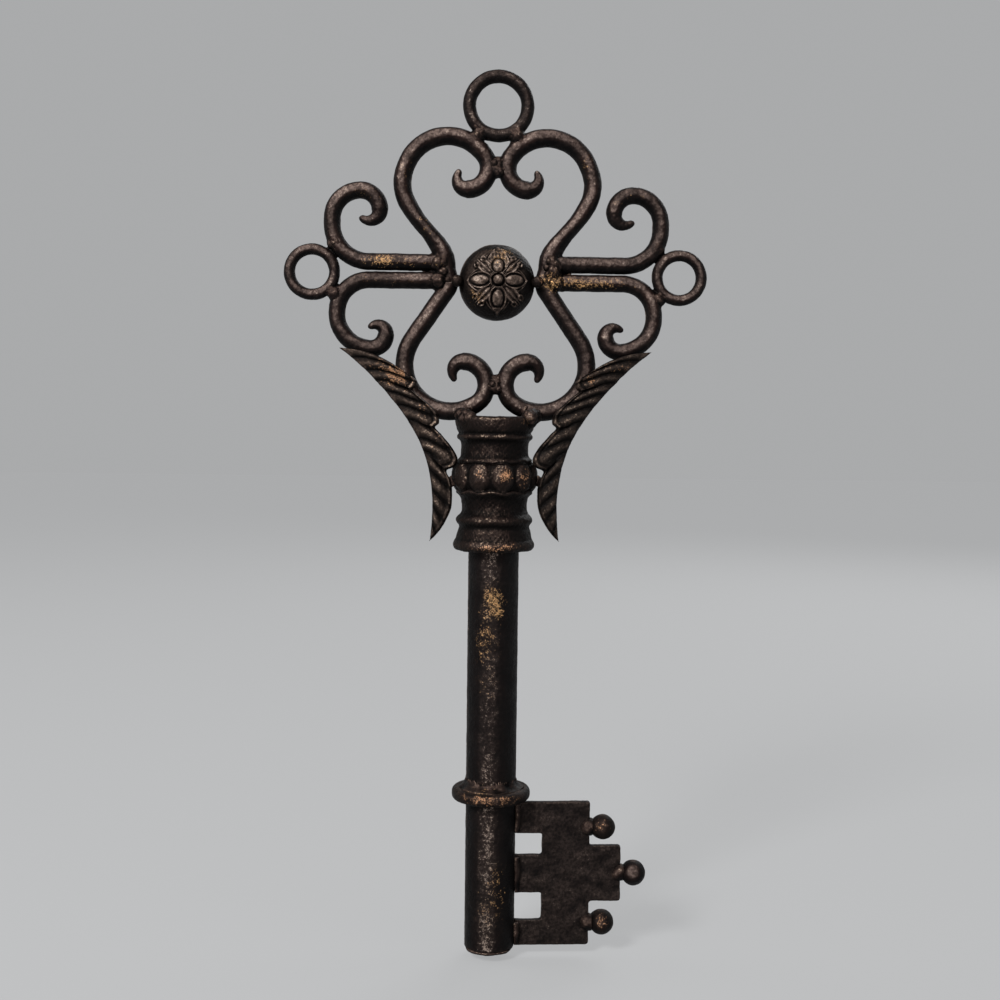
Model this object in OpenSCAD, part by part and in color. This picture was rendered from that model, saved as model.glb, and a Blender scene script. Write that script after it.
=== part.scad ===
// Decorative wall key of bent round bar, a cast collar, a tube shaft and a cut plate bit.
// Origin at the centre of the hanging ring, front towards -Y, +Z up, millimetres.

/* [Hanging ring] */
// Radius of the hanging ring to the middle of its bar
top_ring_r = 14.4; // [13:0.1:16]
// Bar diameter of the hanging ring
top_ring_bar = 6.6; // [5:0.1:8]

/* [Side rings] */
// Radius of each side ring to the middle of its bar
side_ring_r = 11.1; // [10:0.1:13]
// Bar diameter of the side rings
side_ring_bar = 5.6; // [4.5:0.1:7]

/* [Heart scrolls] */
// Bar diameter of the four heart scrolls
heart_bar = 9; // [8:0.1:10]
// Radius of the upper lobes
upper_lobe_r = 22; // [20:0.5:25]
// Radius of the upper curls
upper_curl_r = 10.4; // [9:0.1:12]
// How far an upper lobe wraps past its top before it tightens, in degrees
upper_wrap = 55; // [45:1:65]
// Height of the upper lobe centres above the middle of the rosette
upper_lobe_rise = 49.4; // [45:0.1:54]
// Radius of the bend where an upper scroll straightens beside the rosette
upper_foot_r = 8; // [6:0.5:10]
// Radius of the hook at the end of an upper curl
upper_hook_r = 5.2; // [4.6:0.1:6]
// Radius of the lower lobes
lower_lobe_r = 23; // [21:0.5:26]
// Radius of the lower curls
lower_curl_r = 11.5; // [10:0.1:13]
// How far a lower lobe wraps past its bottom before it tightens, in degrees
lower_wrap = 33; // [25:1:45]
// Depth of the lower lobe centres below the middle of the rosette
lower_lobe_drop = 41; // [38:0.1:46]
// Radius of the bend where a lower scroll straightens beside the rosette
lower_foot_r = 6; // [5:0.5:9]
// Radius of the hook at the end of a lower curl
lower_hook_r = 5.5; // [4.6:0.1:6.5]

/* [Side scrolls] */
// Bar diameter of the four side scrolls
side_bar = 8.4; // [7:0.1:9]
// Gap between the two straight runs of one side
pair_gap = 0.5; // [0.3:0.1:2]
// Height of the middle between the runs above the middle of the rosette
pair_rise = 4.9; // [3:0.1:7]
// Distance from the middle of the key to the upper elbow's centre
upper_elbow_x = 63.5; // [58:0.5:70]
// Distance from the middle of the key to the lower elbow's centre
lower_elbow_x = 62.9; // [58:0.1:70]
// Radius of the upper elbows
upper_elbow_r = 18; // [16:0.5:20]
// Radius of the lower elbows
lower_elbow_r = 16; // [14:0.5:19]
// Straight length between an upper elbow and its lobe
upper_side_run = 2.8; // [1:0.1:6]
// Straight length between a lower elbow and its lobe
lower_side_run = 0.8; // [0.5:0.1:3]
// Radius of the upper side lobes
upper_side_lobe_r = 14; // [13:0.5:16]
// Radius of the lower side lobes
lower_side_lobe_r = 17; // [15:0.5:18]
// Radius of the upper side curls
upper_side_curl_r = 9.4; // [8.5:0.1:11]
// Radius of the lower side curls
lower_side_curl_r = 7.2; // [6.6:0.1:9]
// Radius of the hook at the end of an upper side curl
upper_side_hook_r = 5.4; // [4.6:0.1:6]
// Radius of the hook at the end of a lower side curl
lower_side_hook_r = 4.6; // [4.4:0.1:5.4]

/* [Bar ends] */
// Diameter of the drawn-out bar ends
tip_d = 3.6; // [2.5:0.1:5]

/* [Rosette] */
// Diameter of the rosette dome
dome_d = 37.6; // [34:0.2:42]
// Height of the domed front above its edge band
dome_rise = 13; // [10:0.5:16]
// Width of the edge band behind the dome
dome_band = 4; // [3:0.5:6]
// Wall of the hollow dome
dome_wall = 2; // [1.5:0.1:3]
// Distance from the middle of the rosette to the middle of a petal
petal_ring_r = 8.5; // [8:0.1:9.2]
// Length of a petal
petal_len = 13.4; // [9:0.1:15]
// Width of a petal
petal_w = 7; // [5:0.1:8]
// Diameter of the bead in the middle
middle_bead_d = 4.8; // [3:0.1:6]
// Diameter of the small balls beside the rosette
side_bead_d = 6; // [5:0.1:7]
// Depth to which the small balls are let into the rosette and the scrolls
side_bead_seat = 0.4; // [0.2:0.1:0.8]

/* [Collar] */
// Diameter of the collar's top rim
rim_d = 39.8; // [37:0.2:43]
// Height of the top rim
rim_h = 8.6; // [7:0.1:10]
// Diameter of the bead under the rim
rim_bead_d = 37.6; // [36:0.2:39]
// Diameter of the upper neck
neck_d = 33.4; // [31:0.2:35]
// Height of the upper neck with its coves
neck_h = 13.6; // [11:0.1:16]
// Height of the lobed band
band_h = 15.4; // [14:0.1:18]
// Diameter of the lobed band between its lobes
band_core_d = 36; // [34:0.2:37]
// Number of lobes round the band
lobe_count = 10; // [6:1:12]
// Diameter of each round lobe
lobe_d = 13.4; // [12:0.2:15]
// Distance from the collar's axis to the middle of a lobe
lobe_ring_r = 15.2; // [14:0.1:15.6]
// Diameter of the waist below the band
waist_d = 32.2; // [30.6:0.2:34]
// Height of the waist with its coves
waist_h = 13; // [11:0.1:16]
// Diameter of the bead below the waist
foot_bead_d = 38.2; // [36:0.2:40]
// Height of the bead below the waist
foot_bead_h = 4.6; // [3.5:0.1:6]
// Height of the flare above the foot ring
foot_flare_h = 6.6; // [5:0.1:8]
// Diameter of the foot ring
foot_ring_d = 40.2; // [38:0.2:43]
// Height of the foot ring
foot_ring_h = 5; // [4:0.1:6]
// Depth to which the lower scrolls are let into the rim
saddle_depth = 2.2; // [1:0.1:3]
// Depth of the socket that takes the tube
socket_depth = 44; // [30:0.5:55]

/* [Shaft] */
// Outer diameter of the tube
tube_d = 25.4; // [23:0.1:28]
// Wall of the tube
tube_wall = 1.6; // [1.2:0.1:3]
// Length of tube that shows below the collar
tube_show = 202.4; // [160:0.2:260]
// Thickness of the end cap
cap_t = 4; // [3:0.1:6]
// How far the end cap's dome stands out of the tube
cap_bulge = 1.2; // [0.5:0.1:2]
// Outer diameter of the ring round the shaft
shaft_ring_d = 39.8; // [36:0.2:44]
// Thickness of the ring round the shaft
shaft_ring_t = 6; // [5:0.1:8]
// Gap between the shaft ring and the top of the bit
shaft_ring_gap = 1.9; // [1:0.1:4]
// Height of the weld above the shaft ring
ring_weld_h = 5.5; // [3:0.1:8]

/* [Bit] */
// Height of the bit plate
bit_h = 74; // [66:0.5:84]
// Thickness of the bit plate
bit_t = 3.2; // [2.5:0.1:5]
// Reach of the bit's body from the tube
bit_w = 38; // [34:0.5:44]
// How far the middle tooth stands out of the body
tooth_w = 16; // [10:0.5:20]
// Height of the middle tooth
tooth_h = 28.7; // [26:0.1:32]
// Distance from the top of the plate to the tooth
tooth_drop = 22.7; // [20:0.1:26]
// Width of the windows beside the tube
window_w = 13.7; // [10:0.1:16]
// Height of the upper window
upper_window_h = 11.2; // [9:0.1:13]
// Distance from the top of the plate to the upper window
upper_window_drop = 16.1; // [14:0.1:18]
// Height of the lower window
lower_window_h = 14.2; // [12:0.1:16]
// Distance from the bottom of the plate to the lower window
lower_window_lift = 12.9; // [10:0.1:15]
// Corner radius of the plate's outline and windows
plate_corner_r = 1.2; // [0.6:0.1:2]
// Diameter of the bit's balls
ball_d = 12.7; // [11:0.1:14]
// Distance from the top of the plate to the middle of the top ball
top_ball_drop = 13.3; // [12:0.1:14.5]

/* [Leaves] */
// Thickness of the leaf blade at its edges
leaf_edge_t = 1.6; // [1.2:0.1:3]
// Height of the ribs on the front of a leaf
leaf_rib_h = 2; // [1:0.1:3]
// Distance from a lower side scroll to the tip of its leaf
leaf_tip_gap = 1.9; // [1:0.1:4]
// Distance from the foot ring of the collar to the foot of a leaf
leaf_foot_out = 12.8; // [11:0.1:15]
// Height of a leaf's foot above the bottom of the collar
leaf_foot_lift = 4.4; // [2:0.1:8]

/* [Welds] */
// Root gap that a weld fills where two pieces meet
weld_gap = 0.3; // [0.2:0.05:0.6]
// Diameter of the nuggets on bar joints
nugget_d = 9.6; // [9:0.1:11]
// Diameter of the large nuggets at the rosette
hub_nugget_d = 10; // [9.2:0.1:10.8]
// Diameter of the tacks behind the rosette
tack_d = 7; // [6:0.1:8]
// Diameter of the rods that hold the leaves to the collar
leaf_rod_d = 5; // [4:0.1:6]
// Diameter of the tacks behind the leaves
leaf_tack_d = 7; // [6:0.1:8]
// Diameter of the nuggets between the plate and its balls
ball_nugget_d = 9.2; // [8.4:0.1:10]
// Radius of the weld beads along the bit
bit_bead_r = 2.2; // [1.5:0.1:3]
// Clearance of the tube in the collar's socket and in the shaft ring
tube_fit = 0.15; // [0.1:0.05:0.4]

/* [Hidden] */
$fn = 48;
// How far a cutting shape runs past the surface that it cuts
over = 1;

black = [0.13, 0.11, 0.10];
brown = [0.24, 0.17, 0.13];
copper = [0.45, 0.28, 0.17];

// Plane geometry: x is the distance from the middle of the key, y is the height
function unit(a) = [cos(a), sin(a)];
function gap_to(p, q) = norm(q - p);
function bearing(p, q) = atan2(q[1] - p[1], q[0] - p[0]);
// Where circles of radii ra and rb round a and b cross, on the outer side
function crossing(a, ra, b, rb) =
    let (d = gap_to(a, b), along = (d * d + ra * ra - rb * rb) / (2 * d),
         side = sqrt(ra * ra - along * along))
    a + along * unit(bearing(a, b)) + side * unit(bearing(a, b) + 90);

// Levels, worked out downwards from the hanging ring
upper_curl_x = upper_curl_r + heart_bar / 2 + weld_gap / 2;
upper_lobe_x = upper_curl_x + (upper_lobe_r - upper_curl_r) * sin(upper_wrap);
ring_to_lobe = top_ring_r + top_ring_bar / 2 + weld_gap + heart_bar / 2 + upper_lobe_r;
upper_lobe_z = -sqrt(ring_to_lobe * ring_to_lobe - upper_lobe_x * upper_lobe_x);
hub_z = upper_lobe_z - upper_lobe_rise;
hub_x = dome_d / 2 + weld_gap + heart_bar / 2;
lower_curl_x = lower_curl_r + heart_bar / 2 + weld_gap / 2;
lower_lobe_x = lower_curl_x + (lower_lobe_r - lower_curl_r) * sin(lower_wrap);
lower_lobe_z = hub_z - lower_lobe_drop;
collar_top = lower_lobe_z - lower_lobe_r - heart_bar / 2 + saddle_depth;
collar_h = rim_h + neck_h + band_h + waist_h + foot_bead_h + foot_flare_h + foot_ring_h;
collar_bottom = collar_top - collar_h;
band_mid = collar_top - rim_h - neck_h - band_h / 2;
band_r = lobe_ring_r + lobe_d / 2;
tube_top = collar_bottom + socket_depth - weld_gap;
tube_foot = collar_bottom - tube_show;
plate_top = tube_foot + bit_h;
ring_bottom = plate_top + shaft_ring_gap;
pair_pitch = side_bar + pair_gap;
pair_z = hub_z + pair_rise;
upper_elbow = [upper_elbow_x, pair_z + pair_pitch / 2 + upper_elbow_r];
lower_elbow = [lower_elbow_x, pair_z - pair_pitch / 2 - lower_elbow_r];
ring_reach = side_bar / 2 + weld_gap + side_ring_bar / 2 + side_ring_r;
lower_side_lobe = [lower_elbow_x + lower_elbow_r - lower_side_lobe_r,
    lower_elbow[1] - lower_side_run];
side_ring_c = crossing(upper_elbow, upper_elbow_r + ring_reach,
    lower_elbow, lower_elbow_r + ring_reach);

// Bar shapes
module bar(a, b, d) {
    translate([a[0], a[1], 0])
        rotate([0, 0, bearing(a, b)])
            rotate([0, 90, 0])
                cylinder(h = gap_to(a, b), d = d);
}

module bend(c, r, from, to, d) {
    translate([c[0], c[1], 0])
        rotate([0, 0, from])
            rotate_extrude(angle = to - from)
                translate([r, 0]) circle(d = d);
}

// Every second stretch of a bar is a hair thinner and laps into its neighbours
lap = 0.3;
lap_fit = 0.06;
module lapped_bar(a, b, d) {
    reach = lap * unit(bearing(a, b));
    bar(a - reach, b + reach, d - lap_fit);
}

module lapped_bend(c, r, from, to, d) {
    reach = lap / r * 180 / PI;
    bend(c, r, from - reach, to + reach, d - lap_fit);
}

// Drawn-out hook: a bend whose bar tapers to a round end
hook_sides = 16;
hook_steps = 9;
hook_cap_steps = 3;
hook_lap = 4;
hook_start_fit = 0.985;
hook_taper_power = 1.3;
hook_cap_angle = 80;
function hook_ring(c, r, a, rho) = [for (k = [0:hook_sides - 1])
    let (q = r + rho * cos(360 * k / hook_sides))
    [c[0] + q * cos(a), c[1] + q * sin(a), rho * sin(360 * k / hook_sides)]];

module hook(c, r, from, sweep, d, end_d) {
    start_r = d / 2 * hook_start_fit;
    end_r = end_d / 2;
    cap_angle = end_r / r * 180 / PI;
    turn = sign(sweep);
    body = [for (i = [0:hook_steps])
        hook_ring(c, r, from - turn * hook_lap + (sweep + turn * hook_lap) * i / hook_steps,
            start_r + (end_r - start_r) * pow(i / hook_steps, hook_taper_power))];
    cap = [for (i = [1:hook_cap_steps])
        let (t = hook_cap_angle * i / hook_cap_steps)
        hook_ring(c, r, from + sweep + turn * cap_angle * sin(t), end_r * cos(t))];
    rings = concat(body, cap);
    n = len(rings);
    side_faces = [for (i = [0:n - 2], k = [0:hook_sides - 1])
        let (a = i * hook_sides + k, b = i * hook_sides + (k + 1) % hook_sides,
             quad = [a, b, b + hook_sides, a + hook_sides])
        turn > 0 ? quad : [quad[3], quad[2], quad[1], quad[0]]];
    first = [for (k = [0:hook_sides - 1]) turn > 0 ? hook_sides - 1 - k : k];
    last = [for (k = [0:hook_sides - 1])
        (n - 1) * hook_sides + (turn > 0 ? k : hook_sides - 1 - k)];
    polyhedron(points = [for (ring = rings) each ring],
        faces = concat(side_faces, [first, last]), convexity = 4);
}

// Heart scroll drawn upwards from the middle of the rosette, on the right
hook_over = 32;
hub_split = 0.6;
function heart_foot(foot_r) = [hub_x + foot_r, hub_split / 2];
// Direction of the straight stretch from the lobe down to the foot bend
function heart_lean(lobe, lobe_r, foot_r) =
    let (foot = heart_foot(foot_r))
    bearing(lobe, foot) - asin((lobe_r + foot_r) / gap_to(lobe, foot));
// How far out the outer side of a heart scroll is at a height above the rosette's middle
function heart_side_x(lobe, lobe_r, foot_r, level) =
    let (foot = heart_foot(foot_r), lean = heart_lean(lobe, lobe_r, foot_r),
         inside_r = foot_r - heart_bar / 2, top = foot + inside_r * unit(lean + 270),
         rise = level - foot[1])
    level > top[1] ? top[0] + (level - top[1]) / tan(lean)
        : foot[0] - sqrt(inside_r * inside_r - rise * rise);

module heart_foot_bars(lobe, lobe_r, foot_r) {
    foot = heart_foot(foot_r);
    lean = heart_lean(lobe, lobe_r, foot_r);
    bend(foot, foot_r, lean + 270, 180, heart_bar);
    lapped_bar(lobe + lobe_r * unit(lean + 90), foot + foot_r * unit(lean + 270), heart_bar);
}

module heart_path(lobe, lobe_r, curl_r, wrap, foot_r, hook_r) {
    curl = lobe + (lobe_r - curl_r) * unit(90 + wrap);
    hook_c = curl + (curl_r - hook_r) * unit(270);
    heart_foot_bars(lobe, lobe_r, foot_r);
    bend(lobe, lobe_r, heart_lean(lobe, lobe_r, foot_r) + 90, 90 + wrap, heart_bar);
    lapped_bend(curl, curl_r, 90 + wrap, 270, heart_bar);
    hook(hook_c, hook_r, 270, 90 + hook_over, heart_bar, tip_d);
}

// Upper shapes are drawn upwards and lower ones are mirrored downwards
module above_hub() translate([0, 0, hub_z]) rotate([90, 0, 0]) children();
module below_hub() translate([0, 0, hub_z]) mirror([0, 0, 1]) rotate([90, 0, 0]) children();
upper_lobe = [upper_lobe_x, upper_lobe_rise];
lower_lobe = [lower_lobe_x, lower_lobe_drop];

module upper_heart() above_hub()
    heart_path(upper_lobe, upper_lobe_r, upper_curl_r, upper_wrap, upper_foot_r, upper_hook_r);
module lower_heart() below_hub()
    heart_path(lower_lobe, lower_lobe_r, lower_curl_r, lower_wrap, lower_foot_r, lower_hook_r);

// Side scroll drawn upwards from the middle between the two runs, on the right. Its run starts
// where its square end just clears the heart scrolls.
side_hook_over = 35;
run_top = pair_rise + pair_pitch / 2 + side_bar / 2;
pair_seam_top = pair_rise - pair_gap / 2;
run_bottom = pair_rise - pair_pitch / 2 - side_bar / 2;
upper_run_x = heart_side_x(upper_lobe, upper_lobe_r, upper_foot_r, run_top) + weld_gap;
lower_run_x = max(heart_side_x(upper_lobe, upper_lobe_r, upper_foot_r, pair_seam_top),
    heart_side_x(lower_lobe, lower_lobe_r, lower_foot_r, -run_bottom)) + weld_gap;

module side_path(run_x, elbow_x, elbow_r, run, lobe_r, curl_r, hook_r) {
    elbow = [elbow_x, pair_pitch / 2 + elbow_r];
    lobe = elbow + [elbow_r - lobe_r, run];
    curl = lobe + (lobe_r - curl_r) * unit(90);
    hook_c = curl + (curl_r - hook_r) * unit(180);
    bar([run_x, pair_pitch / 2], [elbow_x, pair_pitch / 2], side_bar);
    lapped_bend(elbow, elbow_r, -90, 0, side_bar);
    bar(elbow + elbow_r * unit(0), lobe + lobe_r * unit(0), side_bar);
    lapped_bend(lobe, lobe_r, 0, 90, side_bar);
    bend(curl, curl_r, 90, 180, side_bar);
    hook(hook_c, hook_r, 180, 90 + side_hook_over, side_bar, tip_d);
}

module above_pair() translate([0, 0, pair_z]) rotate([90, 0, 0]) children();
module below_pair() translate([0, 0, pair_z]) mirror([0, 0, 1]) rotate([90, 0, 0]) children();
module side_upper_bar() above_pair()
    side_path(upper_run_x, upper_elbow_x, upper_elbow_r, upper_side_run, upper_side_lobe_r,
        upper_side_curl_r, upper_side_hook_r);
module side_lower_bar() below_pair()
    side_path(lower_run_x, lower_elbow_x, lower_elbow_r, lower_side_run, lower_side_lobe_r,
        lower_side_curl_r, lower_side_hook_r);

module both_sides() {
    children();
    mirror([1, 0, 0]) children();
}

module ring_at(c, r, d) {
    translate([c[0], 0, c[1]])
        rotate([90, 0, 0])
            rotate_extrude() translate([r, 0]) circle(d = d);
}

// Hanging ring and side rings
module hanging_ring() color(black) ring_at([0, 0], top_ring_r, top_ring_bar);
module side_ring() ring_at(side_ring_c, side_ring_r, side_ring_bar);
module ring_right() color(black) side_ring();
module ring_left() color(black) mirror([1, 0, 0]) side_ring();

// Scrolls
module upper_scroll_right() color(brown) upper_heart();
module upper_scroll_left() color(brown) mirror([1, 0, 0]) upper_heart();
module lower_scroll_right() color(black) lower_heart();
module lower_scroll_left() color(black) mirror([1, 0, 0]) lower_heart();

module side_upper_scroll_right() color(brown) side_upper_bar();
module side_upper_scroll_left() color(brown) mirror([1, 0, 0]) side_upper_bar();
module side_lower_scroll_right() color(black) side_lower_bar();
module side_lower_scroll_left() color(black) mirror([1, 0, 0]) side_lower_bar();

// Rosette: a hollow dome with four bead petals, pairs of leaflets between them and a middle bead
dome_base = dome_band / 2;
dome_sphere_r = (dome_d * dome_d / 4 + dome_rise * dome_rise) / (2 * dome_rise);
dome_centre_y = dome_sphere_r - dome_rise - dome_base;
petal_frame_h = 0.9;
petal_frame_w = 1.7;
petal_bead_h = 1.3;
petal_bead_inset = 4.8;
leaflet_len = 9;
leaflet_w = 3.2;
leaflet_h = 0.8;
leaflet_ring_r = 10.8;
leaflet_apart = 13;
leaflet_fan = 20;

// Pointed oval prism along +Z, long side along X
module pointed_oval(length, width, height) {
    arc_r = (length * length + width * width) / (4 * width);
    intersection() {
        translate([0, arc_r - width / 2, 0]) cylinder(h = height, r = arc_r);
        translate([0, width / 2 - arc_r, 0]) cylinder(h = height, r = arc_r);
    }
}

// Puts a shape drawn along +Z onto the dome, at bearing a and distance r from its middle. The
// shape's foot lies inside the dome's wall.
relief_root_ratio = 0.85;
relief_root_r = dome_sphere_r - dome_wall * relief_root_ratio;
relief_h = dome_wall + petal_bead_h + over;
module on_dome(a, r) {
    tilt = asin(r / dome_sphere_r);
    translate([0, dome_centre_y, hub_z])
        rotate([90, 0, 0])
            rotate([0, 0, a])
                rotate([0, tilt, 0])
                    translate([0, 0, relief_root_r])
                        children();
}

module dome_ball(r) translate([0, dome_centre_y, hub_z]) sphere(r = r);

module petal(a) {
    bead_len = petal_len - petal_bead_inset;
    intersection() {
        on_dome(a, petal_ring_r)
            difference() {
                pointed_oval(petal_len, petal_w, relief_h);
                pointed_oval(petal_len - 2 * petal_frame_w, petal_w - petal_frame_w, relief_h);
            }
        dome_ball(dome_sphere_r + petal_frame_h);
    }
    on_dome(a, petal_ring_r)
        intersection() {
            pointed_oval(bead_len, petal_w * bead_len / petal_len, relief_h);
            translate([0, 0, dome_sphere_r + petal_bead_h - petal_len / 2 - relief_root_r])
                sphere(r = petal_len / 2);
        }
}

module leaflet(a, turn) {
    intersection() {
        on_dome(a, leaflet_ring_r)
            rotate([0, 0, turn])
                pointed_oval(leaflet_len, leaflet_w, relief_h);
        dome_ball(dome_sphere_r + leaflet_h);
    }
}

// A ball cut to a round post: the dome with its edge band, or the hollow inside it
module domed_post(ball_r, d, past_back) {
    intersection() {
        dome_ball(ball_r);
        translate([0, dome_base + past_back, hub_z])
            rotate([90, 0, 0])
                cylinder(h = past_back + dome_band + dome_rise + over, d = d);
    }
}

module dome_shell() {
    difference() {
        domed_post(dome_sphere_r, dome_d, 0);
        domed_post(dome_sphere_r - dome_wall, dome_d - 2 * dome_wall, over);
    }
}

module rosette_dome() color(brown) {
    dome_shell();
    for (a = [0:90:270]) petal(a);
    for (a = [45:90:315], side = [-1, 1]) leaflet(a + side * leaflet_apart, side * leaflet_fan);
    on_dome(0, 0) translate([0, 0, middle_bead_d / 2]) sphere(d = middle_bead_d);
}

module hub_post() translate([hub_x, 0, hub_z - nugget_d]) cylinder(h = 2 * nugget_d, d = heart_bar);

// A side ball is let into the corner between the dome and the heart scrolls
side_bead_at = crossing([hub_x, 0], heart_bar / 2 + side_bead_d / 2 - side_bead_seat,
    [0, dome_centre_y], dome_sphere_r + side_bead_d / 2 - side_bead_seat);
module side_bead() {
    difference() {
        translate([side_bead_at[0], side_bead_at[1], hub_z]) sphere(d = side_bead_d);
        hub_post();
        dome_ball(dome_sphere_r);
    }
}

module rosette_bead_right() color(brown) side_bead();
module rosette_bead_left() color(brown) mirror([1, 0, 0]) side_bead();

// Collar
function arc_points(c, r, from, to, steps) =
    [for (i = [0:steps]) c + r * unit(from + (to - from) * i / steps)];
neck_r = neck_d / 2;
waist_r = waist_d / 2;
rim_r = rim_d / 2;
rim_round = 1.4;
cove_r = 3;
fillet = 0.45;
bead_round_ratio = 0.6;
lip_h = 1;
core_r = band_core_d / 2;
lip_r = core_r + lip_h / 2;
under_lip_r = core_r + lip_h;

module collar_body() {
    neck_z = -rim_h;
    band_z = neck_z - neck_h;
    waist_z = band_z - band_h;
    bead_z = waist_z - waist_h;
    flare_z = bead_z - foot_bead_h;
    ring_z = flare_z - foot_flare_h;
    rim_bead_r = rim_bead_d / 2;
    bead_round = (rim_bead_r - neck_r) * bead_round_ratio;
    waist_cove_r = 2 * cove_r;
    foot_bead_round = foot_bead_h / 3;
    foot_round = foot_ring_h / 2;
    foot_bead_r = foot_bead_d / 2;
    foot_ring_r = foot_ring_d / 2;
    profile = concat(
        [[0, 0]],
        arc_points([rim_r - rim_round, -rim_round], rim_round, 90, 0, 4),
        [[rim_r - lip_h, neck_z], [rim_bead_r - lip_h, neck_z - fillet]],
        arc_points([rim_bead_r - bead_round, neck_z - fillet - bead_round], bead_round, 60, -60, 5),
        arc_points([neck_r + cove_r, neck_z - 2 * fillet - 2 * bead_round - cove_r], cove_r,
            120, 180, 4),
        arc_points([neck_r + cove_r, band_z + cove_r + lip_h], cove_r, 180, 236, 4),
        [[lip_r, band_z + fillet], [lip_r, band_z - fillet], [core_r, band_z - 3 * fillet],
         [core_r, waist_z + 5 * fillet], [under_lip_r, waist_z + 3 * fillet],
         [under_lip_r, waist_z]],
        arc_points([waist_r + waist_cove_r, waist_z - waist_cove_r], waist_cove_r, 120, 180, 5),
        arc_points([waist_r + cove_r, bead_z + cove_r + fillet], cove_r, 180, 240, 4),
        arc_points([foot_bead_r - foot_bead_round, bead_z - foot_bead_round], foot_bead_round,
            80, -50, 5),
        [[foot_bead_r - lip_h, flare_z + fillet], [foot_bead_r - lip_h, flare_z - fillet],
         [foot_bead_r - fillet, flare_z - foot_flare_h / 2]],
        arc_points([foot_ring_r - foot_round, ring_z - foot_round], foot_round, 70, -90, 8),
        [[0, ring_z - foot_ring_h]]);
    rotate_extrude() polygon(profile);
}

module collar_lobe(a) {
    rotate([0, 0, a]) translate([lobe_ring_r, 0, band_mid - collar_top]) sphere(d = lobe_d);
}

first_lobe = 28;
module collar() color(brown) {
    difference() {
        translate([0, 0, collar_top]) {
            collar_body();
            for (i = [0:lobe_count - 1]) collar_lobe(first_lobe + 360 * i / lobe_count);
        }
        translate([0, 0, collar_bottom - over])
            cylinder(h = socket_depth + over, d = tube_d + 2 * tube_fit);
        both_sides() lower_rings(2 * weld_gap);
    }
}

// The bar of the lower scrolls where it lies in the collar's rim
lower_curl = lower_lobe + (lower_lobe_r - lower_curl_r) * unit(90 + lower_wrap);
module lower_rings(extra) below_hub() {
    translate([lower_lobe[0], lower_lobe[1], 0])
        rotate_extrude() translate([lower_lobe_r, 0]) circle(d = heart_bar + extra);
    translate([lower_curl[0], lower_curl[1], 0])
        rotate_extrude() translate([lower_curl_r, 0]) circle(d = heart_bar + extra + lap_fit);
}

// Shaft
module shaft_tube() color(black) {
    translate([0, 0, tube_foot])
        difference() {
            cylinder(h = tube_top - tube_foot, d = tube_d);
            translate([0, 0, -over])
                cylinder(h = tube_top - tube_foot + 2 * over, d = tube_d - 2 * tube_wall);
        }
}

cap_r = tube_d / 2 - tube_wall - tube_fit;
cap_sphere_r = (cap_r * cap_r + cap_bulge * cap_bulge) / (2 * cap_bulge);
module shaft_end_cap() color(black) {
    intersection() {
        translate([0, 0, tube_foot - cap_bulge]) cylinder(h = cap_t + cap_bulge, r = cap_r);
        translate([0, 0, tube_foot - cap_bulge + cap_sphere_r]) sphere(r = cap_sphere_r);
    }
}

ring_round = 2.2;
ring_bore_r = tube_d / 2 + tube_fit;
module shaft_ring() color(copper) {
    outer = shaft_ring_d / 2;
    profile = concat(
        arc_points([outer - ring_round, shaft_ring_t - ring_round], ring_round, 90, 0, 5),
        arc_points([outer - ring_round, ring_round], ring_round, 0, -90, 5),
        [[ring_bore_r, 0], [ring_bore_r, shaft_ring_t]]);
    translate([0, 0, ring_bottom]) rotate_extrude() polygon(profile);
}

module shaft_ring_weld() color(black) {
    reach = shaft_ring_d / 2 - ring_round;
    foot = tube_d / 2;
    curve = [for (a = [0:15:90]) [reach - (reach - foot) * sin(a), ring_weld_h * (1 - cos(a))]];
    translate([0, 0, ring_bottom + shaft_ring_t])
        rotate_extrude()
            polygon(concat([[foot, 0]], curve));
}

module end_cap_weld() color(black) {
    mid_r = tube_d / 2 - tube_wall;
    difference() {
        translate([0, 0, tube_foot]) rotate_extrude() translate([mid_r, 0]) circle(r = tube_wall);
        translate([0, 0, tube_foot]) cylinder(h = 2 * tube_wall, d = tube_d + 2 * tube_wall);
        translate([0, 0, tube_foot - cap_bulge + cap_sphere_r]) sphere(r = cap_sphere_r);
    }
}

// Bit
tube_r = tube_d / 2;
body_edge = tube_r + bit_w;
tooth_edge = body_edge + tooth_w;
tooth_top = bit_h - tooth_drop;
tooth_foot = tooth_top - tooth_h;

module plate_outline() {
    polygon(concat(
        [[0, 0]],
        round_corner([body_edge, 0], 270, 1),
        inner_corner([body_edge, tooth_foot], 1),
        round_corner([tooth_edge, tooth_foot], 270, 1),
        round_corner([tooth_edge, tooth_top], 0, 1),
        inner_corner([body_edge, tooth_top], -1),
        round_corner([body_edge, bit_h], 0, 1),
        [[0, bit_h]]));
}

function round_corner(p, from, turn) =
    let (c = p - plate_corner_r * [1, from == 270 ? -1 : 1])
    arc_points(c, plate_corner_r, from, from + 90 * turn, 4);
function inner_corner(p, up) =
    let (c = p + plate_corner_r * [1, -up])
    arc_points(c, plate_corner_r, up > 0 ? 180 : 270, up > 0 ? 90 : 180, 4);

module window(bottom, height) {
    far = tube_r + window_w;
    polygon(concat(
        [[tube_r - over, bottom]],
        arc_points([far - plate_corner_r, bottom + plate_corner_r], plate_corner_r, 270, 360, 4),
        arc_points([far - plate_corner_r, bottom + height - plate_corner_r], plate_corner_r, 0, 90, 4),
        [[tube_r - over, bottom + height]]));
}

module shaft_bore(extra) {
    translate([0, 0, tube_foot - over])
        cylinder(h = bit_h + shaft_ring_gap + shaft_ring_t + 2 * over, r = tube_r + extra);
}

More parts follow.
